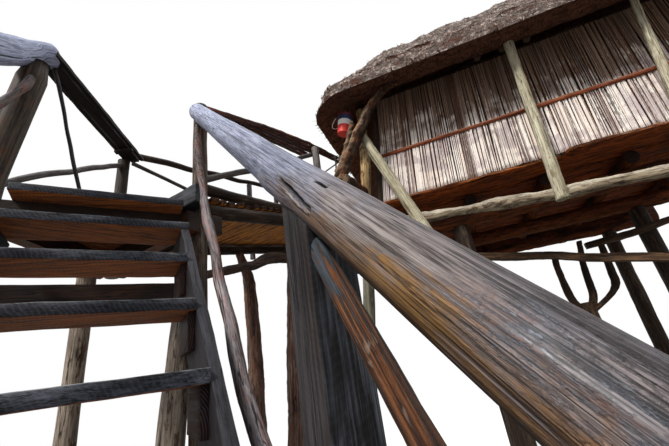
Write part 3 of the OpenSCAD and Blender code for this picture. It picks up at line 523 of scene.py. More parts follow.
def boards(name, node, material, steps=(0.035, 0.0, 0.05), bevel=0.003, warp=0.0016, seed=1,
           tones=None, shaped=None, slim=0.0, ragged=0.0):
    """Sawn timber: worn edges, slight warp and a rough surface"""
    heap = Heap()
    for i, (points, faces) in enumerate(islands(node)):
        axes, middle = own_axes(points, faces)
        co, normal, polys = cut_fine(points, faces, axes, steps, bevel)
        place = (co - middle) @ axes.T
        shift = np.array([0.37, 0.23, 1.3]) * (i + 1) + seed * 0.41
        own = place + shift
        wave = swell(own * (9, 9, 4), seed * 13 + i) + swell(own * (40, 40, 16), seed + i)
        moved = co + normal * (wave * warp)[:, None]
        if slim:
            # Uneven widths leave gaps between neighbours
            line = np.stack([np.sign(place[:, 0]) * 3.3, place[:, 0] * 0 + i, place[:, 2] * 7], 1)
            inward = (0.5 + 0.5 * swell(line, seed * 7 + i)) * slim
            width = max(np.ptp(place[:, 0]) / 2, 1e-6)
            moved = moved - (place[:, 0] / width * inward)[:, None] * axes[0]
        if ragged:
            # Each end is broken off at its own length
            way, zero = np.sign(place[:, 2]), place[:, 0] * 0
            end = np.clip((np.abs(place[:, 2]) - np.ptp(place[:, 2]) / 2 + 0.08) / 0.08, 0, 1)
            length = lattice(np.stack([way, zero + i, zero], 1), seed)
            torn = swell(place * (90, 90, 0) + way[:, None] * 5, seed + i)
            moved = moved + (way * end * (length - 0.6 + torn * 0.4) * ragged)[:, None] * axes[2]
        if shaped:
            moved = shaped(moved, normal, place, axes, middle)
        tone = tones(middle) if tones else (lattice(np.array([i, seed, 9]), 5) + 1) / 2
        heap.add(moved, polys, own, tone, axes[2], np.array([shift[0] + 0.05, shift[1] - 0.12, 0]))
    return heap.piece(name, material, [node], smooth=35)


# ---- handrails


def curve_through(marks, count):
    """Evenly spaced stations on a smooth line through marks"""
    marks = np.array(marks, float)
    ends = np.vstack([2 * marks[0] - marks[1], marks, 2 * marks[-1] - marks[-2]])
    rows = []
    for i in range(1, len(ends) - 2):
        a, b, c, d = ends[i - 1:i + 3]
        t = np.linspace(0, 1, 40, endpoint=False)[:, None]
        rows.append(0.5 * (2 * b + (c - a) * t + (2 * a - 5 * b + 4 * c - d) * t ** 2
                           + (3 * b - a - 3 * c + d) * t ** 3))
    line = np.vstack(rows + [marks[-1:]])
    run = np.r_[0, np.cumsum(np.linalg.norm(np.diff(line, axis=0), axis=1))]
    at = count(run[-1])
    return np.stack([np.interp(at, run, line[:, k]) for k in range(3)], 1), at


def apart(first, second):
    """The angle between bearings, in radians"""
    return np.abs((first - second + np.pi) % (2 * np.pi) - np.pi)


def handrail(name, node, marks, girths, seed, material, checks=(), swells=(), fine=None):
    """A handrail log: close rings, flutes, drying checks and swellings.
    checks: start and end along the log, bearing at each, half width in radians, depth.
    swells: place along the log, bearing, length, width in radians, height."""
    def stations(length):
        """Where the rings stand: closest in the stretch that is seen from near"""
        if fine is None:
            return np.linspace(0, length, int(length / 0.02))
        start, near, end = fine
        return np.concatenate([np.arange(0, start, 0.02), np.arange(start, near, 0.009),
                               np.arange(near, end, 0.0045), np.linspace(end, length, 60)])
    line, at = curve_through(marks, stations)
    rings, sides, length = len(line), 120 if fine else 96, at[-1]
    along = np.gradient(line, axis=0)
    along /= np.linalg.norm(along, axis=1, keepdims=True)
    side = np.cross(along, (0, 0, 1))
    side /= np.linalg.norm(side, axis=1, keepdims=True)
    up = np.cross(side, along)
    angle = np.linspace(0, 2 * np.pi, sides, endpoint=False)
    zz, aa = np.meshgrid(at, angle, indexing="ij")
    z, a = zz.ravel(), aa.ravel()
    place = np.stack([np.cos(a), np.sin(a), z], 1)
    flat, lengthwise = place * (1, 1, 0), place * (0, 0, 1)
    radius = np.interp(z, np.linspace(0, length, len(girths)), girths) / 2
    grow = (swell(flat * 1.1 + lengthwise * 2.2, seed) * 0.0024
            + swell(flat * 3.3 + lengthwise * 6.5, seed + 1) * 0.0012
            + swell(flat * 14 + lengthwise * 3.0, seed + 2) * 0.0007
            + swell(flat * 40 + lengthwise * 9.0, seed + 3) * 0.0004)
    for start, bearing, long, wide, high in swells:
        grow = grow + high * np.exp(-((z - start) / long) ** 2 - (apart(a, bearing) / wide) ** 2)
    split = np.zeros(len(place))
    for start, end, first, last, half, deep in checks:
        share = np.clip((z - start) / (end - start), 0, 1)
        bearing = (first + (last - first) * share + 0.03 * swell(lengthwise * 9, seed + 7)
                   + 0.02 * swell(lengthwise * 31, seed + 8))
        inside = np.clip((1 - apart(a, bearing) / half) * 2, 0, 1) * np.sin(share * np.pi) ** 0.5
        inside = inside * ((z > start) & (z < end))
        # A negative depth is a sliver that stands proud
        split = np.where(np.abs(inside) > np.abs(split), inside * np.sign(deep), split)
        grow = grow - deep * inside
    radius = radius + grow
    radius *= 1 - 0.35 * np.clip(1 - np.minimum(z, length - z) / 0.02, 0, 1) ** 2
    ring = np.repeat(np.arange(rings), sides)
    own = np.stack([np.cos(a) * radius, np.sin(a) * radius, z], 1)
    points = line[ring] + own[:, :1] * side[ring] + own[:, 1:2] * up[ring]
    i, k = np.meshgrid(np.arange(rings - 1), np.arange(sides), indexing="ij")
    first, second = i * sides + k, i * sides + (k + 1) % sides
    quads = np.stack([first, second, second + sides, first + sides], -1).reshape(-1, 4)[:, ::-1]
    caps = [list(range(sides)), list(range((rings - 1) * sides, rings * sides))[::-1]]
    heap = Heap()
    heap.add(points, quads.tolist() + caps, own, split, along[rings // 2], NOWHERE)
    return heap.piece(name, material, [node], smooth=60)


def rail_finish(name, seed, browned, handled):
    """Silver at the head, grey-brown with ochre low on its side, then dark and polished by hands. Its
    underside is painted near black as shade, its low side is painted darker on the silver head as shade,
    and its handled side carries painted highlights.
    browned and handled are the places along the log where each finish begins."""
    look = Look(name)
    raw = look.attribute("grain")
    place = look.vector("ADD", raw, (seed, seed * 0.7, seed))
    split = look.attribute("tone", "Fac")
    length = look.rise(raw)
    outward = look.vector("NORMALIZE", look.vector("MULTIPLY", raw, (1, 1, 0)))

    def facing(bearing):
        """1 where the log faces a bearing round itself, -1 on the far side"""
        turn = math.radians(bearing)
        return look.vector("DOT_PRODUCT", outward, (math.cos(turn), math.sin(turn), 0), key=1)

    broad = look.noise(place, (13, 13, 4.5), 3.0, 0.6, 0.6) - 0.5
    patch = look.noise(place, (30, 30, 10), 4.0, 0.62, 0.8) - 0.5
    fibres = look.noise(place, (150, 150, 3.6), 4.0, 0.68, 0.35)
    hairs = look.noise(place, (560, 560, 13), 3.0, 0.68)
    grain = look.span(fibres * 0.55 + hairs * 0.45 + patch * 0.15, 0.39, 0.6)
    # Painted shade: the underside is painted near black, and the low side darker grey on the silver head;
    # further down the low side is the wood's brown colour
    under = look.span(facing(-86) + broad * 0.9 + patch * 0.6, 0.35, 0.8)
    low = look.span(facing(-45) + broad * 1.3 + patch * 0.9, 0.35, 0.9)
    glow = look.span(facing(-32) + broad * 1.7 + patch * 1.2, 0.6, 1.0)
    crown = look.span(facing(112) + broad * 0.6, 0.35, 0.9)
    ochre = look.mix(grain, "33200f", "9c7440")
    worn = look.span(length + broad * 0.7, browned + 0.08, browned + 0.3)

    silver = look.coats(grain, look.mix(grain, "7a8098", "c3c9e4"),
                        (look.span(length + broad, 0.5, 1.9) * 0.8, "4e5161", "9094a6"),
                        (low * 0.75, "3f4252", "767b8e"),
                        (look.span(patch + broad * 0.5, 0.1, 0.24) * 0.45, "6d655f"))
    brown = look.coats(grain, look.mix(grain, "3c3432", "9c928f"),
                       (crown * 0.8, "2b2829", "72686a"), (low * 0.85, "34241a", "836348"),
                       (glow * worn * 0.85, ochre), (under * 0.92, "0e0907", "39231a"))
    polished = look.coats(grain, look.mix(grain, "241d1c", "8c8283"),
                          (look.span(patch + broad, 0.02, 0.14) * 0.8, "2a150d", "7a4c33"),
                          (crown * 0.8, "1c1a1c", "55525a"), (low * 0.8, "1d0f09", "6c4225"),
                          (glow * 0.7, ochre), (under * 0.9, "0b0706", "2a1811"))

    turned = look.span(length + broad * 0.5 + low * 0.1, browned - 0.2, browned + 0.15)
    hand = look.span(length + broad * 0.4, handled - 0.16, handled + 0.1)
    stripes = look.span(look.noise(place, (105, 105, 1.7), 3.0, 0.62, 0.5), 0.55, 0.68)
    pale = look.span(look.noise(place, (170, 170, 3.0), 3.0, 0.62, 0.5), 0.6, 0.72)
    lines = look.span(look.ridge(place, (70, 70, 0.9), 2.0, 0.3), 0.975, 0.996)
    lines = lines * look.span(look.noise(place, (20, 20, 4), 2.0), 0.42, 0.58)
    specks = look.span(look.noise(place, (230, 230, 60), 4.0, 0.72), 0.48, 0.66)
    # Painted highlight: a speckled bluish sky reflection on the handled part's side facing bearing 32
    painted_gloss = (look.span(length + broad, handled - 0.12, handled + 0.3)
             * look.span(facing(32) + broad * 0.7, 0.84, 1.0))
    colour = look.coats(
        grain, look.mix(turned, silver, brown), (hand, polished), (stripes * 0.55, "1d1613"),
        (pale * 0.26, "c4bfc6"), (lines * 0.85, "0e0a08"),
        # Open checks are painted near black as the shade inside them, and slivers that stand proud are
        # painted pale as the light on them
        (look.span(split, 0.1, 0.4) * 0.97, "070504"),
        (look.span(0 - split, 0.3, 0.8) * 0.8, "6a5e55", "b3a89c"),
        (painted_gloss * 0.35, "7d8594"), (specks * painted_gloss * 0.6, "b9c2d2"))
    roughness = look.math("SUBTRACT", 0.7 - grain * 0.1, hand * (0.1 + specks * 0.26), clamp=True)
    height = (fibres + hairs * 0.7 + specks * hand * 1.3 + patch * 1.5 - lines * 1.3
              - stripes * 0.5)
    return look.finish(colour, roughness, height, 0.002, hand * 0.16, coat_rough=0.28, specular=0.2)


# ---- reeds and thatch


def reed_field(count, length, tall, across, up, out, origin, seed, size, lean, sides, stations):
    """A row of reeds: points, faces, grain, tone and each reed's share of the wall's length.
    across, up and out are unit vectors."""
    rng = np.random.default_rng(seed)
    foot = (np.arange(count) + 0.5) / count + rng.normal(0, 0.25 / count, count)
    t = np.linspace(0, 1, stations)
    radius = size / 2 * rng.uniform(0.75, 1.15, count)
    low = rng.uniform(-0.004, 0.01, count)
    tall = tall - rng.uniform(0, 0.008, count)
    joint = rng.uniform(0.2, 0.34, count)
    phase = rng.uniform(0, 1, count)
    sway = rng.normal(0, 0.006, (count, 2))
    depth = rng.normal(0, size * 0.18, count)
    z = low[:, None] + t[None] * (tall - low)[:, None]
    bump = 1 + 0.16 * np.exp(-(((z / joint[:, None] + phase[:, None]) % 1 - 0.5) / 0.05) ** 2)
    shape = radius[:, None] * bump * (1 - 0.12 * t[None])
    bow = np.sin(t * np.pi)[None]
    x = foot[:, None] * length + lean(foot[:, None], z) + sway[:, :1] * bow
    y = depth[:, None] + sway[:, 1:] * 0.4 * bow
    centre = origin + x[..., None] * across + z[..., None] * up + y[..., None] * out
    ring = np.linspace(0, 2 * np.pi, sides, endpoint=False)
    turn = rng.uniform(0, 6, count)[:, None, None]
    u = np.cos(ring[None, None] + turn) * shape[..., None]
    v = np.sin(ring[None, None] + turn) * shape[..., None]
    points = centre[:, :, None] + u[..., None] * across + v[..., None] * out
    own = np.stack(np.broadcast_arrays(u + foot[:, None, None] * 40, v, z[..., None]), -1)
    base = np.arange(count)[:, None, None] * stations * sides
    i = np.arange(stations - 1)[None, :, None] * sides
    k = np.arange(sides)[None, None]
    a, b = base + i + k, base + i + (k + 1) % sides
    quads = np.stack(np.broadcast_arrays(a, b, b + sides, a + sides), -1).reshape(-1, 4)
    caps = [list(range(c + (stations - 1) * sides, c + stations * sides)) for c in base.ravel()]
    caps += [list(range(c, c + sides))[::-1] for c in base.ravel()]
    tone = np.repeat(rng.uniform(0, 1, count), stations * sides)
    return points.reshape(-1, 3), quads.tolist() + caps, own.reshape(-1, 3), tone, foot


def reed_finish():
    """Split reeds: pale low on the wall with greyer patches, partly weathering and partly painted dappled
    shade, and browner under the eave, partly weathering and partly the eave's painted shadow
    """
    look = Look("reed")
    place = look.attribute("grain")
    tone = look.attribute("tone", "Fac")
    height = look.rise(place)
    long = look.noise(place, (60, 60, 3.5), 3.0, 0.6)
    spots = look.noise(place, (140, 140, 22), 3.0, 0.65)
    world = look.geometry("Position")
    drift = look.noise(world, (4.2, 4.2, 4.6), 4.0, 0.62, 0.4)
    slow = look.noise(world, (1.1, 1.1, 1.6), 2.0, 0.5)
    # Greyer patches over the wall: partly weathering, partly painted dappled shade
    weathering_and_dappled_shade = look.span(drift * 0.75 + slow * 0.25, 0.47, 0.57)
    # Browner higher up the wall: partly weathering, partly the eave's painted shadow
    browned = height + (tone - 0.5) * 0.3 + (long - 0.5) * 0.5 + (drift - 0.5) * 1.1
    colour = look.coats(
        tone, look.mix(tone, "ecd8cb", "fffcf6"), (weathering_and_dappled_shade * 0.85, "b09f9f", "d9cbca"),
        (look.span(browned, 0.58, 0.86), "57402f", "a98d7a"),
        (look.span(tone + (spots - 0.5) * 0.6, 0.85, 0.97) * 0.85, "5c3826"),
        (look.span(1 - tone + (long - 0.5) * 0.5, 0.85, 0.97) * 0.7, "8b7d79"),
        (look.span(spots, 0.62, 0.75) * 0.4, "7a563f"),
        (look.span(0.06 - height + (spots - 0.5) * 0.06, 0, 0.05) * 0.6, "5a3c2a"))
    return look.finish(colour, 0.66 - spots * 0.15, long * 0.6 + spots * 0.5, 0.0008, specular=0.3)


def gap_finish():
    """The inner reeds, in the shade behind the outer ones"""
    look = Look("reed_shade")
    stripes = look.noise(look.attribute("grain"), (90, 90, 2.0), 3.0, 0.6)
    lit = look.span(stripes + (look.attribute("tone", "Fac") - 0.5) * 0.4, 0.4, 0.65)
    return look.finish(look.mix(lit, "1f140e", "5f412c"), 0.85, stripes, 0.0015, specular=0.1)


def thatch_finish():
    """Combed straw: mottled grey on top, redder on the cut eave, dark under it"""
    look = Look("thatch")
    place = look.attribute("grain")
    tone = look.attribute("tone", "Fac")
    straw = look.noise(place, (150, 150, 9), 3.0, 0.7, 0.4)
    fine = look.noise(place, (420, 420, 30), 2.0, 0.7)
    tuft = look.noise(place, (17, 17, 8), 4.0, 0.7, 0.8)
    world = look.geometry("Position")
    clump = look.noise(world, (15, 15, 19), 4.0, 0.7)
    grain = look.span(straw * 0.6 + fine * 0.4, 0.36, 0.64)
    pale = look.span(clump * 0.6 + tuft * 0.4 + (tone - 0.5) * 0.1, 0.5, 0.56)
    gloom = look.span(look.noise(world, (9, 9, 12), 4.0, 0.7) + (tone - 0.5) * 0.1, 0.52, 0.6)
    top = look.coats(grain, look.mix(grain, "2a2120", "8f8079"),
                     (pale * 0.9, "8c7a70", "e6d7cc"), (gloom * 0.85, "16110f", "4a3e39"))
    cut = look.coats(grain, look.mix(grain, "2f1d17", "83594a"),
                     (look.span(clump, 0.5, 0.68) * 0.6, "54392f", "a98878"))
    shade = look.coats(grain, look.mix(grain, "2e1b14", "8f6450"),
                       (look.span(clump, 0.44, 0.62) * 0.6, "24160f"))
    facing = look.facing(UP)
    colour = look.mix(look.span(facing + (clump - 0.5) * 0.9, -0.12, 0.1), cut, top)
    colour = look.coats(grain, colour, (look.span(0 - facing, 0.35, 0.75), shade),
                        (look.span(tone, 0.8, 1.0) * 0.3, "d8c8bb"),
                        (look.span(1 - tone, 0.8, 1.0) * 0.35, "1d1513"))
    height = straw * 0.8 + fine * 0.6 + tuft * 0.6 + clump * 1.2
    return look.finish(colour, 0.92, height, 0.012, specular=0.1)


def down_slope(normal):
    """Unit vectors across and down the roof at surface normals"""
    across = np.cross(np.broadcast_to(UP, normal.shape), normal)
    size = np.linalg.norm(across, axis=1, keepdims=True)
    across = np.where(size > 1e-4, across / np.maximum(size, 1e-6), np.array([1.0, 0, 0]))
    return across, np.cross(across, normal) * -1


# ---- settings


class TreeHouseSizes(bpy.types.PropertyGroup):
    reed_width: FloatProperty(name="Reed width", description="Thickness of one reed", default=0.0145,
                              min=0.008, max=0.03, unit="LENGTH")
    reed_pitch: FloatProperty(name="Reed spacing", description="Distance from reed to reed",
                              default=0.0146, min=0.008, max=0.03, unit="LENGTH")
    straw_count: IntProperty(name="Straws", description="Number of tufts, and of loose straws",
                             default=21000, min=1000, max=45000)


class TreeHouseColours(bpy.types.PropertyGroup):
    floor: FloatVectorProperty(name="Floor", description="Colour of the floor and backdrop",
                               subtype="COLOR", size=3, default=(0.86, 0.86, 0.85), min=0, max=1)
    pail_band: FloatVectorProperty(name="Pail band", description="Colour of the pail's pale band",
                                   subtype="COLOR", size=3, default=(0.95, 0.93, 0.9), min=0, max=1)
    pail_foot: FloatVectorProperty(name="Pail foot", description="Colour of the pail's lower part",
                                   subtype="COLOR", size=3, default=(0.85, 0.03, 0.016), min=0, max=1)


class TREEHOUSE_OT_handrails(bpy.types.Operator):
    """Lay the two handrail logs on their newels"""
    bl_idname = "treehouse.handrails"
    bl_label = "Handrails"

    def execute(self, context):
        # Marks along each log's heart, in the stair's frame
        right = [(846, 112, 3875), (848, -1400, 2398), (850, -2900, 933)]
        handrail("handrail_right_log", "handrail_right", [stair_place(p) for p in right],
                 (0.112, 0.117, 0.122), 40, rail_finish("handrail_right_wood", 0.0, 2.1, 2.56),
                 checks=((1.93, 2.13, 0.20, 0.02, 0.07, 0.016), (2.07, 2.13, 0.90, 0.98, 0.07, 0.010),
                         (1.95, 2.13, 0.06, -0.12, 0.05, -0.010)),
                 swells=((1.84, -0.35, 0.07, 0.5, 0.012), (1.96, -0.5, 0.05, 0.4, 0.008),
                         (2.44, 0.1, 0.02, 0.12, 0.002)), fine=(1.5, 2.1, 2.8))
        left = [(6, 212, 4133), (-34, 172, 4090), (-78, 120, 4026), (-104, 0, 3912), (-105, -300, 3618),
                (-98, -1500, 2500), (-90, -2900, 1178)]
        handrail("handrail_left_log", "handrail_left", [stair_place(p) for p in left],
                 (0.150, 0.152, 0.136, 0.126, 0.122), 49,
                 rail_finish("handrail_left_wood", 3.7, 3.4, 3.9),
                 checks=((0.1, 1.3, 3.4, 3.5, 0.025, 0.005), (0.3, 1.5, 0.1, 0.1, 0.012, 0.003)))
        return {"FINISHED"}


def stair_place(point):
    """A point of the stair's own frame, in millimetres, in the frame's metres"""
    x, y = point[0] - STAIR_ORIGIN[0], point[1] - STAIR_ORIGIN[1]
    turned = Matrix.Rotation(STAIR_TURN, 2) @ Vector((x, y))
    return turned.x / 1000, turned.y / 1000, point[2] / 1000


class TREEHOUSE_OT_stair(bpy.types.Operator):
    """Dress the stair's planks, treads, cleats, newels, braces and bent poles"""
    bl_idname = "treehouse.stair"
    bl_label = "Stair"

    def execute(self, context):
        boards("stair_planks", "stair_stringers",
               timber("plank_wood", "45444c", "1b1a1e", "0a090a", warm=("3a2216", "140d0a"),
                      bleach="6b6a72", bleach_share=0.2, saw=0.08, cracks=0.7, scuffs=0.2,
                      painted_side_light=((-0.6, -0.4, 0), "2b1d18", 0.6), end_shade="46444a"),
               (0.03, 0, 0.05), 0.004, seed=2)
        boards("treads", "stair_treads",
               timber("tread_wood", "7d828f", "35363d", "131317", warm=("c06f30", "4a230e"),
                      warm_low=-0.5, bleach="b9babd", bleach_share=0.7, saw=0.1, scuffs=0.35,
                      depth=0.0022, streaks=0.6),
               (0.03, 0.0, 0.03), 0.0035, 0.0018, seed=3)
        boards("cleats", "tread_cleats",
               timber("cleat_wood", "7c3f20", "351a10", "120906", cracks=0.6, saw=0.06,
                      end_shade="4a4048"),
               (0.03, 0, 0.04), 0.003, seed=4)
        boards("newels", "stair_newels",
               timber("newel_wood", "6a707a", "19171a", "080708", saw=0.03, cracks=0.9, patches=0.1,
                      rough=0.62, scuffs=0.3, fibre=130, painted_side_light=((-0.75, -0.6, 0), "3a2c24", 0.7),
                      ends=0.5, depth=0.0022), (0.027, 0.027, 0.06), 0.004, 0.0012, seed=5)
        logs("braces", "stair_braces", brace_finish(), 0.022, 0.006, 6, bend=0.004,
             ragged=0.0012)
        logs("bent_poles", "bent_pole",
             timber("peeled_branch", "a8988f", "3d2c26", "100907", bark=("86492a", "381c11"),
                    bark_share=0.45, knots=0.9, bleach="aaa5ad", bleach_share=0.5, cracks=0.9,
                    streaks=0.8, depth=0.003),
             0.02, 0.009, 7, bend=0.014, ragged=0.002)
        return {"FINISHED"}


def upright_stick(middle):
    """Whether a stick is the dark upright one beside the left log"""
    return np.linalg.norm(middle[:2] - DARK_STICK) < 0.15


def slight_pole(points, normal, place, axes, middle):
    """Draws in the dark upright stick"""
    return points - normal * (0.006 if upright_stick(middle) else 0.0)


def brace_finish():
    """A varnished pole: orange and red-brown with dark streaks, blue-grey at its head, and painted shade
    on the side facing right and down
    """
    look = Look("brace_wood")
    place = look.attribute("grain")
    fibres = look.noise(place, (150, 150, 2.2), 4.0, 0.65, 0.5)
    wide = look.noise(place, (70, 70, 1.4), 3.0, 0.6, 0.4)
    hairs = look.noise(place, (600, 600, 14), 3.0, 0.68)
    patch = look.noise(place, (26, 26, 7), 4.0, 0.65, 0.8)
    level = look.rise(look.geometry("Position"))
    head = look.span(level + (wide - 0.5) * 0.3 + (patch - 0.5) * 0.5, 2.17, 2.26)
    colour = look.coats(
        look.span(fibres * 0.5 + hairs * 0.5, 0.42, 0.6),
        look.mix(look.span(wide * 0.6 + patch * 0.4, 0.44, 0.56), "74431f", "3a2219"),
        (look.span(fibres, 0.46, 0.58) * 0.92, "110806"),
        (look.span(1 - fibres * 0.7 - hairs * 0.3, 0.54, 0.64) * 0.5, "b08048"),
        (look.span(patch, 0.6, 0.7) * 0.6, "b59a86"), (head, "0d1013", "4d5862"),
        # Painted shade: the side facing right and down, away from the key light, is painted near black
        (look.span(look.facing((0.9, 0.25, -0.3)), 0.25, 0.8) * 0.75, "120b08"))
    rough = 0.5 + look.span(wide * 0.5 + hairs * 0.5, 0.42, 0.6) * 0.3
    height = fibres * 1.4 + wide * 0.8 + hairs * 0.8 + patch * 2.5
    return look.finish(colour, rough, height, 0.003, specular=0.25)


class TREEHOUSE_OT_landing(bpy.types.Operator):
    """Dress the landing's posts, beams, boards, side rail and sill"""
    bl_idname = "treehouse.landing"
    bl_label = "Landing"

    def execute(self, context):
        post = timber("landing_post_wood", "bcae9f", "7a6a5a", "2a211c", bark=("6a4c38", "33211a"),
                      bark_share=0.25, knots=0.7, bleach="a9a7ae", bleach_share=0.4, cracks=0.9,
                      painted_side_light=((-0.85, 0.1, 0), "cfc0ae", 0.6), streaks=0.6)
        logs("corner_post_log", "corner_post",
             timber("corner_post_wood", "a89a8c", "605145", "241c17", bark=("5c3c2b", "2c1a13"),
                    bark_share=0.3, knots=0.7, cracks=0.9, streaks=0.7),
             0.03, 0.005, 11, bend=0.004)
        logs("landing_post_logs", "landing_posts", post, 0.045, 0.007, 12,
             shaped=lean_left_post, tones=post_tone)
        boards("landing_timbers", "landing_beams",
               timber("beam_wood", "6b4630", "2a1912", "0d0705", cracks=0.8, patches=0.5,
                      warm=("7a431f", "2a140a"), rough=0.6, end_shade="3a2c26"),
               (0.04, 0.04, 0.06), 0.005, 0.002, seed=13)
        boards("landing_boards", "landing_deck",
               timber("deck_wood", "8d7c6c", "4b362a", "1d120d", warm=("8e4c22", "3a1c0d"),
                      bleach="8f8a88"),
               (0.04, 0, 0.05), 0.004, seed=14)
        boards("side_rail_boards", "landing_rail",
               timber("side_rail_wood", "5d524c", "1f1916", "0b0807", bleach="7f7773", bleach_share=0.5,
                      warm=("201510", "0d0806")),
               (0.012, 0.012, 0.04), 0.004, 0.003, seed=15, shaped=short_rail,
               slim=0.004)
        boards("sill_timber", "gangway_sill",
               timber("sill_wood", "6f737c", "26262a", "0e0e10", saw=0.2, cracks=0.8, bleach="85878f"),
               (0.02, 0.02, 0.05), 0.006, 0.0025, seed=16)
        return {"FINISHED"}


def post_tone(middle):
    """The left post is dark, the others are paler"""
    left = np.linalg.norm((middle - stair_place((*LEFT_POST, 0)))[:2]) < 0.25
    far = np.linalg.norm(middle - DARK_POST) < 0.2
    if left or far:
        return -0.5 if left else -0.8
    return 1.3


def lean_left_post(points, normal, place, axes, middle):
    """Leans the left post's head to the log it carries, and thickens it there"""
    foot = np.array(stair_place((*LEFT_POST, 3200)))
    if np.linalg.norm((middle - foot)[:2]) > 0.25 or points[:, 2].max() < 3.9:
        return points
    climb = np.clip((points[:, 2] - foot[2]) / 0.79, 0, 1.0)
    moved = points + climb[:, None] * (np.array([0.103, 0.039, 0]) + normal * (1, 1, 0) * 0.011)
    # Its head tucks under the log
    tuck = np.clip((points[:, 2] - 3.85) / 0.09, 0, 1)
    moved -= normal * (1, 1, 0) * (0.022 * tuck)[:, None]
    moved[:, 2] = np.minimum(moved[:, 2], LEFT_POST_TOP)
    return moved


def short_rail(points, normal, place, axes, middle):
    """Ends the side rail at the left log's head, 1.035 m from its far end"""
    far, near = np.array((-0.938, 0.280)), np.array((-0.545, -0.772))
    run = (near - far) / np.linalg.norm(near - far)
    over = np.clip((points[:, :2] - far) @ run - 1.035, 0, None)
    return points - over[:, None] * (run[0], run[1], 0.0888)


class TREEHOUSE_OT_gangway(bpy.types.Operator):
    """Dress the gangway's bearers, laths, kerbs, rails, posts, sticks and props"""
    bl_idname = "treehouse.gangway"
    bl_label = "Gangway"

    def execute(self, context):
        edge = timber("edge_log_wood", "8f7866", "3a2c24", "130d0a", bark=("4a3628", "1c120d"),
                      knots=0.6, bleach="9a8f88", bleach_share=0.55, cracks=0.9)
        logs("bearer_logs", "gangway_bearers", edge, 0.045, 0.008, 21, ragged=0.002)
        logs("kerb_logs", "gangway_kerbs", edge, 0.02, 0.007, 22, ragged=0.002)
        boards("laths", "gangway_laths",
               timber("lath_wood", "8a5a44", "4a2a1c", "160b07", bleach="8f7c72", bleach_share=0.5,
                      cracks=0.4, warm=("e89a38", "5c2a0c"), streaks=0.8, end_shade="4a2a1c"),
               (0.02, 0, 0.04), 0.005, 0.004, seed=23, slim=0.008, ragged=0.022,
               tones=lambda middle: lattice(np.floor(middle * 997), 3) * 1.1)
        boards("near_rail_laths", "gangway_near_rail",
               timber("near_rail_wood", "b06a4c", "5c2a1c", "1c0c08", warm=("3c1a12", "120706"),
                      streaks=0.8, bleach="a07868", bleach_share=0.4),
               (0.01, 0, 0.04), 0.004, 0.004, seed=24, slim=0.012)
        logs("far_rail_log", "gangway_far_rail",
             timber("far_rail_wood", "6d5a50", "2c211b", "100b09", bleach="7d7470"),
             0.03, 0.006, 25, bend=0.01)
        stick = timber("stick_wood", "9f9894", "5d5450", "2a221f", knots=0.8, cracks=0.6,
                       bleach="aaa6aa", streaks=0.7)
        logs("rail_post_logs", "rail_posts", stick, 0.03, 0.006, 26, bend=0.006)
        logs("sticks", "rail_sticks", stick, 0.032, 0.004, 27, bend=0.008,
             shaped=slight_pole, tones=lambda middle: -0.9 if upright_stick(middle) else 0.5)
        prop = timber("prop_bark", "b59a8a", "6b5045", "261a16", bark=("8c6450", "33201a"),
                      bark_share=0.6, knots=0.8, cracks=0.9, streaks=0.7)
        logs("prop_trunks", "gangway_props", prop, 0.02, 0.014, 28, ragged=0.005, bend=0.01)
        logs("tie_log", "tie_branch",
             timber("tie_bark", "7d685c", "42322b", "17100d", bark=("5c4336", "241712"), cracks=0.9),
             0.015, 0.009, 29, ragged=0.003)
        return {"FINISHED"}


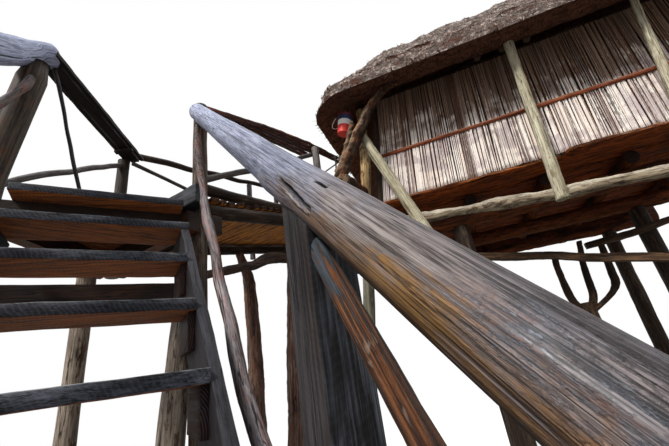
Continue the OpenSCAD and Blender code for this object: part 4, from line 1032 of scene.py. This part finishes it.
class TREEHOUSE_OT_platform(bpy.types.Operator):
    """Dress the posts, beams, joists, waney slabs and braces under the cabin"""
    bl_idname = "treehouse.platform"
    bl_label = "Platform"

    def execute(self, context):
        deep = timber("trunk_wood", "7d6a58", "382b23", "150f0c", bark=("3f2d22", "1a100c"),
                      knots=0.6, cracks=0.9, streaks=0.7)
        logs("main_post_logs", "main_posts", deep, 0.1, 0.012, 31, ragged=0.003)
        inner = timber("under_beam_wood", "9a5230", "38190a", "0b0503", cracks=0.7, patches=0.6, ends=0.9,
                       warm=("8a4a1e", "160a05"), streaks=0.95, end_shade="120a07")
        logs("main_beam_logs", "main_beams", inner, 0.045, 0.016, 32, ragged=0.01,
             grow=0.012, shaped=deep_beam)
        logs("joist_logs", "floor_joists", inner, 0.07, 0.01, 33, ragged=0.004)
        boards("waney_slabs", "floor_slabs",
               timber("slab_wood", "e4843c", "4a1f0d", "0c0502", warm=("b0541c", "0f0603"),
                      patches=0.8, bleach="d8b49a", bleach_share=0.7, fibre=60, broad=1.4,
                      cracks=0.9, depth=0.006, ends=0.4, streaks=0.9),
               (0.04, 0.0, 0.05), 0.006, 0.005, seed=34, shaped=waney)
        pale = timber("pale_log_wood", "e3d6bb", "a8977c", "3f3125", bark=("6d5340", "38281d"),
                      bark_share=0.3, knots=0.8, cracks=0.7, bleach="e0d8c8", bleach_share=0.5)
        logs("gnarled_beam", "front_beam", pale, 0.016, 0.018, 35, ragged=0.005,
             bend=0.008, grow=0.014)
        logs("front_post_logs", "front_posts",
             timber("front_post_wood", "b7b39d", "7d7864", "38352a", knots=0.7, cracks=0.8,
                    bleach="c2c0b2"),
             0.03, 0.007, 36)
        logs("strut_logs", "eave_struts",
             timber("strut_wood", "f6f0d8", "cec5a8", "75694f", knots=0.9, cracks=0.8, patches=0.25,
                    bleach="ece8d6", bark=("94805e", "5c4c38"), bark_share=0.12, streaks=0.25),
             0.02, 0.008, 37, ragged=0.0025, shaped=slender)
        logs("porch_post_log", "porch_post",
             timber("porch_post_wood", "f0dcae", "c39f68", "54371c", bark=("7d4c24", "3d2210"),
                    bark_share=0.4, knots=0.6),
             0.02, 0.014, 38, ragged=0.004)
        logs("sway_timbers", "sway_braces",
             timber("sway_wood", "8a6a4e", "3f2c1e", "150e0a", cracks=0.8, streaks=0.7),
             0.03, 0.008, 39, ragged=0.003, bend=0.01)
        return {"FINISHED"}


def slender(points, normal, place, axes, middle):
    """Draws the struts in to their true girths, the right one most and towards its right side"""
    right = middle[0] > 3.2
    along = np.clip((points[:, 2] - points[:, 2].min()) / np.ptp(points[:, 2]), 0, 1)
    part = np.full(len(points), 0.010 if middle[0] < 1.8 else 0.014)
    if right:
        part = 0.018 + 0.014 * along
    offset = place[:, :2] @ axes[:2]
    girth = np.percentile(np.linalg.norm(offset, axis=1), 70)
    moved = points - offset * (part / girth)[:, None]
    if right:
        moved = moved + np.array([1.0, 0, 0]) * (part * 0.8 + 0.045 * along)[:, None]
    return moved


def deep_beam(points, normal, place, axes, middle):
    """The rear beam reaches up to the floor"""
    if middle[1] < 4.0:
        return points
    return points + UP * BEAM_RISE * np.clip((points[:, 2] - middle[2]) / 0.04, 0, 1)[:, None]


def waney(points, normal, place, axes, middle):
    """Rounds a slab's lower edges as the outside of the trunk is"""
    key = np.round(place[:, 2] / 0.004).astype(int)
    order = np.argsort(key, kind="stable")
    starts = np.flatnonzero(np.r_[True, np.diff(key[order]) > 0])
    low = np.minimum.reduceat(place[order, 0], starts)
    high = np.maximum.reduceat(place[order, 0], starts)
    group = np.empty(len(key), int)
    group[order] = np.repeat(np.arange(len(starts)), np.diff(np.r_[starts, len(key)]))
    inner = np.minimum(place[:, 0] - low[group], high[group] - place[:, 0])
    round_off = np.clip(1 - inner / 0.09, 0, 1) ** 2
    below = np.clip(-(points[:, 2] - points[:, 2].max()) / 0.05, 0, 1)
    ragged = swell(place * (14, 14, 9), 77) * 0.008 + swell(place * (40, 40, 30), 78) * 0.004
    lift = below * round_off * (0.03 + ragged)
    return points + UP * lift[:, None] + normal * (ragged * round_off * 0.9)[:, None]


class TREEHOUSE_OT_branch(bpy.types.Operator):
    """Dress the forked branch under the eave"""
    bl_idname = "treehouse.branch"
    bl_label = "Forked branch"

    def execute(self, context):
        logs("forked_bough", "forked_branch",
             timber("fork_wood", "b08e70", "463022", "0f0805", bark=("9a5220", "30180c"),
                    bark_share=0.35, knots=0.9, cracks=1.0, depth=0.009, streaks=0.9,
                    bleach="c8a684"),
             0.009, 0.022, 41, ragged=0.014, grow=0.022)
        return {"FINISHED"}


class TREEHOUSE_OT_pail(bpy.types.Operator):
    """Paint the pail and its wire"""
    bl_idname = "treehouse.pail"
    bl_label = "Pail"

    def execute(self, context):
        colours = context.scene.treehouse_colours
        look = Look("pail_paint")
        place = look.attribute("grain")
        world = look.geometry("Position")
        # Distance from the pail's foot along its own axis
        foot = look.vector("SUBTRACT", world, (0.634, 1.614, 4.542))
        level = look.vector("DOT_PRODUCT", foot, (0.242, 0, 0.970), key=1)
        chips = look.noise(place, (60, 60, 60), 4.0, 0.65)
        wavy = level + (chips - 0.5) * 0.012
        foot_paint, band = ((*colour, 1) for colour in (colours.pail_foot, colours.pail_band))
        colour = look.coats(
            0, look.mix(look.span(wavy, 0.092, 0.098), foot_paint, band),
            (look.span(wavy, 0.158, 0.163), "23294f"), (look.span(level, 0.222, 0.227), "8c1a1c"),
            (look.span(chips, 0.68, 0.74) * 0.6, "4a2e22"))
        material = look.finish(colour, 0.38 + chips * 0.25, chips, 0.0008, 0.2)
        logs("hanging_pail", "pail", material, 0.03, 0.0012, 42)
        return {"FINISHED"}


class TREEHOUSE_OT_cabin_frame(bpy.types.Operator):
    """Dress the cabin's poles, plates and rafters"""
    bl_idname = "treehouse.cabin_frame"
    bl_label = "Cabin frame"

    def execute(self, context):
        pole = timber("cabin_pole_wood", "7d6450", "3a2a20", "130d0a", bark=("4c3626", "1f140e"),
                      bark_share=0.4, cracks=0.7)
        logs("cabin_poles", "wall_frame", pole, 0.08, 0.006, 51)
        logs("plate_poles", "roof_plates", pole, 0.09, 0.006, 52)
        logs("rafter_poles", "rafters", pole, 0.09, 0.006, 53)
        return {"FINISHED"}


class TREEHOUSE_OT_reed_walls(bpy.types.Operator):
    """Stand the reeds of the walls and lay the battens on them"""
    bl_idname = "treehouse.reed_walls"
    bl_label = "Reed walls"

    def execute(self, context):
        sizes = context.scene.treehouse_sizes
        reed, shade = reed_finish(), gap_finish()
        # Each wall's way across and inward, and how far a reed leans in at a share of the length
        across_x, across_y, upright = (1, 0, 0), (0, 1, 0), lambda f, z: 0 * z
        walls = {
            "front_wall": (across_x, (0, 1, 0), lambda f, z: WALL_LEAN * z * (1 - f) ** 1.3),
            "back_wall": (across_x, (0, -1, 0), lambda f, z: WALL_LEAN * z * (1 - f)),
            "right_wall": (across_y, (-1, 0, 0), upright),
            "door_front_wall": (across_y, (1, 0, 0), upright),
            "door_back_wall": (across_y, (1, 0, 0), upright),
            "door_head_wall": (across_y, (1, 0, 0), upright),
        }
        for seed, (node, (across, inward, lean)) in enumerate(walls.items()):
            low, high = (np.array(corner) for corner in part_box(node))
            across, inward = np.array(across, float), np.array(inward, float)
            leaning = across[1] > 0 and node != "right_wall"
            rise = UP + (np.array([WALL_LEAN, 0, 0]) if leaning else 0)
            start = low.copy()
            if inward.sum() < 0:
                start = np.where(inward < 0, high, low)
                start[2] = low[2]
            length = float((high - low) @ across)
            count = int(length / sizes.reed_pitch)
            heap = Heap()
            for row, (deep, sides, stations) in enumerate(REED_ROWS):
                points, faces, own, tone, foot = reed_field(
                    count, length, high[2] - low[2], across, rise, inward, start + inward * deep,
                    60 + seed * 5 + row, sizes.reed_width, lean, sides, stations)
                if row == 1:
                    hidden = Heap()
                    hidden.add(points, faces, own, tone, UP, NOWHERE)
                    hidden.piece(node + "_inner_reeds", shade, [node], smooth=50)
                    continue
                if node == "front_wall" and row == 0:
                    # A brown strip stands between the struts
                    strip = np.repeat(np.abs(foot * length - 0.93) < 0.035, sides * stations)
                    tone = np.where(strip, 0.99, tone)
                heap.add(points, faces, own, tone, UP, NOWHERE)
            heap.piece(node + "_reeds", reed, [node], smooth=50)
        boards("reed_battens", "wall_battens",
               timber("batten_wood", "c87850", "8a4026", "2e120b", knots=0.8, patches=0.5,
                      bleach="c89a80", bleach_share=0.5),
               (0.012, 0.012, 0.06), 0.002, 0.004, seed=71)
        return {"FINISHED"}


class TREEHOUSE_OT_thatch(bpy.types.Operator):
    """Lay the thatch: a lumpy shell, with tufts and loose straws over it and at the eave"""
    bl_idname = "treehouse.thatch"
    bl_label = "Thatch"

    def execute(self, context):
        sizes = context.scene.treehouse_sizes
        material = thatch_finish()
        points, faces = islands("thatch_roof")[0]
        low, high = points.min(0), points.max(0)
        middle = (low + high) / 2
        co, normal, polys = cut_fine(points, faces, np.eye(3), (0.06, 0.06, 0.06))
        across, down = down_slope(normal)
        out = co - middle
        own = np.stack([(out * across).sum(1), out[:, 2] * 0.3, (out * down).sum(1)], 1)
        outer = np.clip(normal[:, 2] * 3 + 0.6, 0, 1)
        lump = swell(co * (5, 5, 8), 81) * 0.03 + swell(co * (13, 13, 17), 82) * 0.022
        lump = lump + swell(co * (30, 30, 34), 83) * 0.012
        edge = np.clip(1 - np.abs(normal[:, 2] + 0.1) * 1.6, 0, 1)
        shrink = 0.028 * np.clip(1 + normal[:, 2] * 4, 0, 1) - 0.01 * edge
        shell = co + normal * (lump * (0.25 + 0.75 * outer) - shrink)[:, None]
        shell = dome(shell, co, normal, low, high)
        heap = Heap()
        heap.add(shell, polys, own, 0.3, UP, NOWHERE)
        heap.piece("thatch_shell", material, ["thatch_roof"], smooth=0)
        self.straws(material, shell, polys, middle, sizes)
        return {"FINISHED"}

    def straws(self, material, shell, polys, middle, sizes):
        """Tufts and loose straws over the outside, thick at the eave's edge"""
        rng = np.random.default_rng(91)
        tri = np.array([f[:3] for f in polys] + [[f[0], f[2], f[3]] for f in polys if len(f) == 4])
        a, b, c = shell[tri[:, 0]], shell[tri[:, 1]], shell[tri[:, 2]]
        cross = np.cross(b - a, c - a)
        area = np.linalg.norm(cross, axis=1) / 2
        face_up = cross[:, 2] / np.maximum(2 * area, 1e-9)
        centre = (a + b + c) / 3
        out = np.abs(centre - middle) / (HIGH_ROOF - middle)
        rim = (np.abs(face_up) < 0.55) & (out[:, :2].max(1) > 0.86)
        front = np.where(centre[:, 1] < middle[1], 1.5, 0.8)
        weight = area * ((face_up > 0.1) * 1.0 + rim * 1.6) * front
        for name, count, lengths, widths, proud in (
                ("thatch_tufts", sizes.straw_count, (0.03, 0.075), (0.007, 0.013), 0.004),
                ("loose_straws", sizes.straw_count, (0.03, 0.07), (0.002, 0.004), 0.005)):
            pick = rng.choice(len(tri), count, p=weight / weight.sum())
            u, v = rng.uniform(0, 1, (2, count))
            flip = u + v > 1
            u, v = np.where(flip, 1 - u, u), np.where(flip, 1 - v, v)
            root = a[pick] + u[:, None] * (b - a)[pick] + v[:, None] * (c - a)[pick]
            n = cross[pick] / (2 * area[pick])[:, None]
            across, down = down_slope(n)
            length = rng.uniform(*lengths, count) * np.where(rim[pick], 0.6, 1)
            lift = rng.uniform(0.0, 0.14, count)
            stray = rng.normal(0, 0.3, count).clip(-0.7, 0.7)
            run = down + across * stray[:, None] + n * lift[:, None]
            run /= np.linalg.norm(run, axis=1, keepdims=True)
            side = np.cross(run, n)
            side /= np.linalg.norm(side, axis=1, keepdims=True)
            width = rng.uniform(*widths, count)[:, None] / 2
            base = root - n * (0.008 - proud)
            sag = np.array([0, 0, -0.6]) * (length ** 2)[:, None]
            mid = base + run * (length * 0.55)[:, None] + n * 0.004 + sag * 0.3
            tip = base + run * length[:, None] + sag
            half = side * width
            ring = np.stack([base - half, base + half, mid + half, mid - half,
                             tip + half * 0.3, tip - half * 0.3], 1)
            start = np.arange(count)[:, None] * 6
            faces = np.concatenate([start + np.array([0, 1, 2, 3]), start + np.array([3, 2, 4, 5])])
            points = ring.reshape(-1, 3)
            own = np.stack([np.repeat(rng.uniform(0, 50, count), 6), points[:, 2] * 0,
                            (points - middle) @ np.array([0.3, 0.2, 1])], 1)
            heap = Heap()
            heap.add(points, faces, own, np.repeat(rng.uniform(0, 1, count), 6), UP, NOWHERE)
            heap.piece(name, material, [], smooth=0)


def dome(shell, co, normal, low, high):
    """Rounds the roof up from its eave, as thick thatch is"""
    inward = np.minimum(np.minimum(co[:, 0] - low[0], high[0] - co[:, 0]),
                        np.minimum(co[:, 1] - low[1], high[1] - co[:, 1]))
    end = co[:, 0] - low[0]
    rise = ease(np.clip((inward - 0.1) / 0.42, 0, 1)) * ease(np.clip((end - 0.25) / 0.9, 0, 1))
    # The left end hangs lower, and nothing rises near the ridge
    droop = np.clip(1 - end / 0.7, 0, 1) ** 2 * np.clip((co[:, 2] - low[2] - 0.12) / 0.15, 0, 1)
    fade = np.clip((high[2] - 0.03 - co[:, 2]) / 0.9, 0, 1)
    outside = np.clip(normal[:, 2] * 6 - 2, 0, 1) * (co[:, 2] > low[2] + 0.28)
    return shell + UP * (ROOF_CROWN * rise * fade * outside - ROOF_DROOP * droop)[:, None]


class TREEHOUSE_OT_stage(bpy.types.Operator):
    """Set the floor, the light and the camera"""
    bl_idname = "treehouse.stage"
    bl_label = "Stage"

    def execute(self, context):
        scene = context.scene
        scene.view_settings.view_transform = "Standard"
        self.floor(scene)
        self.sky(scene)
        self.lamps(scene)
        data = bpy.data.cameras.new("camera")
        data.sensor_width, data.lens = CAMERA_SENSOR, CAMERA_LENS
        data.clip_start, data.clip_end = 0.02, 300.0
        camera = bpy.data.objects.new("camera", data)
        scene.collection.objects.link(camera)
        turn = Matrix((CAMERA_RIGHT, CAMERA_UP, CAMERA_BACK)).transposed()
        camera.matrix_world = Matrix.Translation(CAMERA_PLACE) @ turn.to_4x4()
        scene.camera = camera
        return {"FINISHED"}

    def floor(self, scene):
        look = Look("floor")
        tint = tuple(scene.treehouse_colours.floor) + (1,)
        place = look.geometry("Position")
        away = look.vector("LENGTH", look.vector("MULTIPLY", place, (1, 1, 0)), key=1)
        seen = look.out(look.node("ShaderNodeLightPath"), "Is Camera Ray")
        diffuse = look.node("ShaderNodeBsdfDiffuse", {}, {
            "Color": look.mix(seen, (0.22, 0.21, 0.2, 1), tint)})
        white = look.node("ShaderNodeEmission", {}, {"Color": (1, 1, 1, 1), "Strength": 1.0})
        far = look.span(away, 7.0, 16.0) * seen
        both = look.node("ShaderNodeMixShader", {}, {0: far, 1: look.out(diffuse), 2: look.out(white)})
        look.node("ShaderNodeOutputMaterial", {}, {"Surface": look.out(both)})
        mesh = bpy.data.meshes.new("floor")
        corners = [(x * FLOOR_REACH, y * FLOOR_REACH, FLOOR_LEVEL)
                   for x, y in ((-1, -1), (1, -1), (1, 1), (-1, 1))]
        mesh.from_pydata(corners, [], [(0, 1, 2, 3)])
        mesh.materials.append(look.material)
        made = bpy.data.objects.new("floor", mesh)
        scene.collection.objects.link(made)

    def sky(self, scene):
        world = bpy.data.worlds.new("studio")
        scene.world = world
        world.use_nodes = True
        tree = world.node_tree
        tree.nodes.clear()
        look = Look.__new__(Look)
        look.tree = tree
        path = look.node("ShaderNodeLightPath")
        seen = look.out(path, "Is Camera Ray")
        for ray in ("Is Transmission Ray", "Is Glossy Ray"):
            seen = look.math("MAXIMUM", seen, look.out(path, ray))
        soft = look.node("ShaderNodeBackground", {}, {"Color": (0.93, 0.96, 1.0, 1), "Strength": 0.55})
        white = look.node("ShaderNodeBackground", {}, {"Color": (1, 1, 1, 1), "Strength": 1.0})
        both = look.node("ShaderNodeMixShader", {}, {0: seen, 1: look.out(soft), 2: look.out(white)})
        look.node("ShaderNodeOutputWorld", {}, {"Surface": look.out(both)})

    def lamps(self, scene):
        for name, power, angle, source, tint in (
                ("key_light", 3.4, 10, (-0.35, -1.0, 1.05), (1.0, 0.97, 0.92)),
                ("back_light", 0.9, 40, (0.5, 0.9, 1.6), (0.92, 0.96, 1.0))):
            data = bpy.data.lights.new(name, "SUN")
            data.energy, data.angle, data.color = power, math.radians(angle), tint
            lamp = bpy.data.objects.new(name, data)
            lamp.rotation_mode = "QUATERNION"
            lamp.rotation_quaternion = Vector(source).to_track_quat("Z", "Y")
            lamp.location = (0, 0, 12)
            scene.collection.objects.link(lamp)


class TREEHOUSE_PT_panel(bpy.types.Panel):
    """Lists the tree house's pieces and settings"""
    bl_idname = "TREEHOUSE_PT_panel"
    bl_label = "Tree house"
    bl_space_type = "VIEW_3D"
    bl_region_type = "UI"
    bl_category = "Tree house"

    def draw(self, context):
        for group in (context.scene.treehouse_sizes, context.scene.treehouse_colours):
            for key in group.__annotations__:
                self.layout.prop(group, key)
        for step in STEPS:
            self.layout.operator(step.bl_idname)


STEPS = (TREEHOUSE_OT_stage, TREEHOUSE_OT_handrails, TREEHOUSE_OT_stair, TREEHOUSE_OT_landing,
         TREEHOUSE_OT_gangway, TREEHOUSE_OT_platform, TREEHOUSE_OT_branch, TREEHOUSE_OT_pail,
         TREEHOUSE_OT_cabin_frame, TREEHOUSE_OT_reed_walls, TREEHOUSE_OT_thatch)
CLASSES = (TreeHouseSizes, TreeHouseColours, *STEPS, TREEHOUSE_PT_panel)


def register():
    for cls in CLASSES:
        bpy.utils.register_class(cls)
    bpy.types.Scene.treehouse_sizes = PointerProperty(type=TreeHouseSizes)
    bpy.types.Scene.treehouse_colours = PointerProperty(type=TreeHouseColours)


def unregister():
    del bpy.types.Scene.treehouse_colours
    del bpy.types.Scene.treehouse_sizes
    for cls in reversed(CLASSES):
        bpy.utils.unregister_class(cls)


def main():
    register()
    for step in STEPS:
        group, action = step.bl_idname.split(".")
        getattr(getattr(bpy.ops, group), action)()


if __name__ == "__main__":
    main()
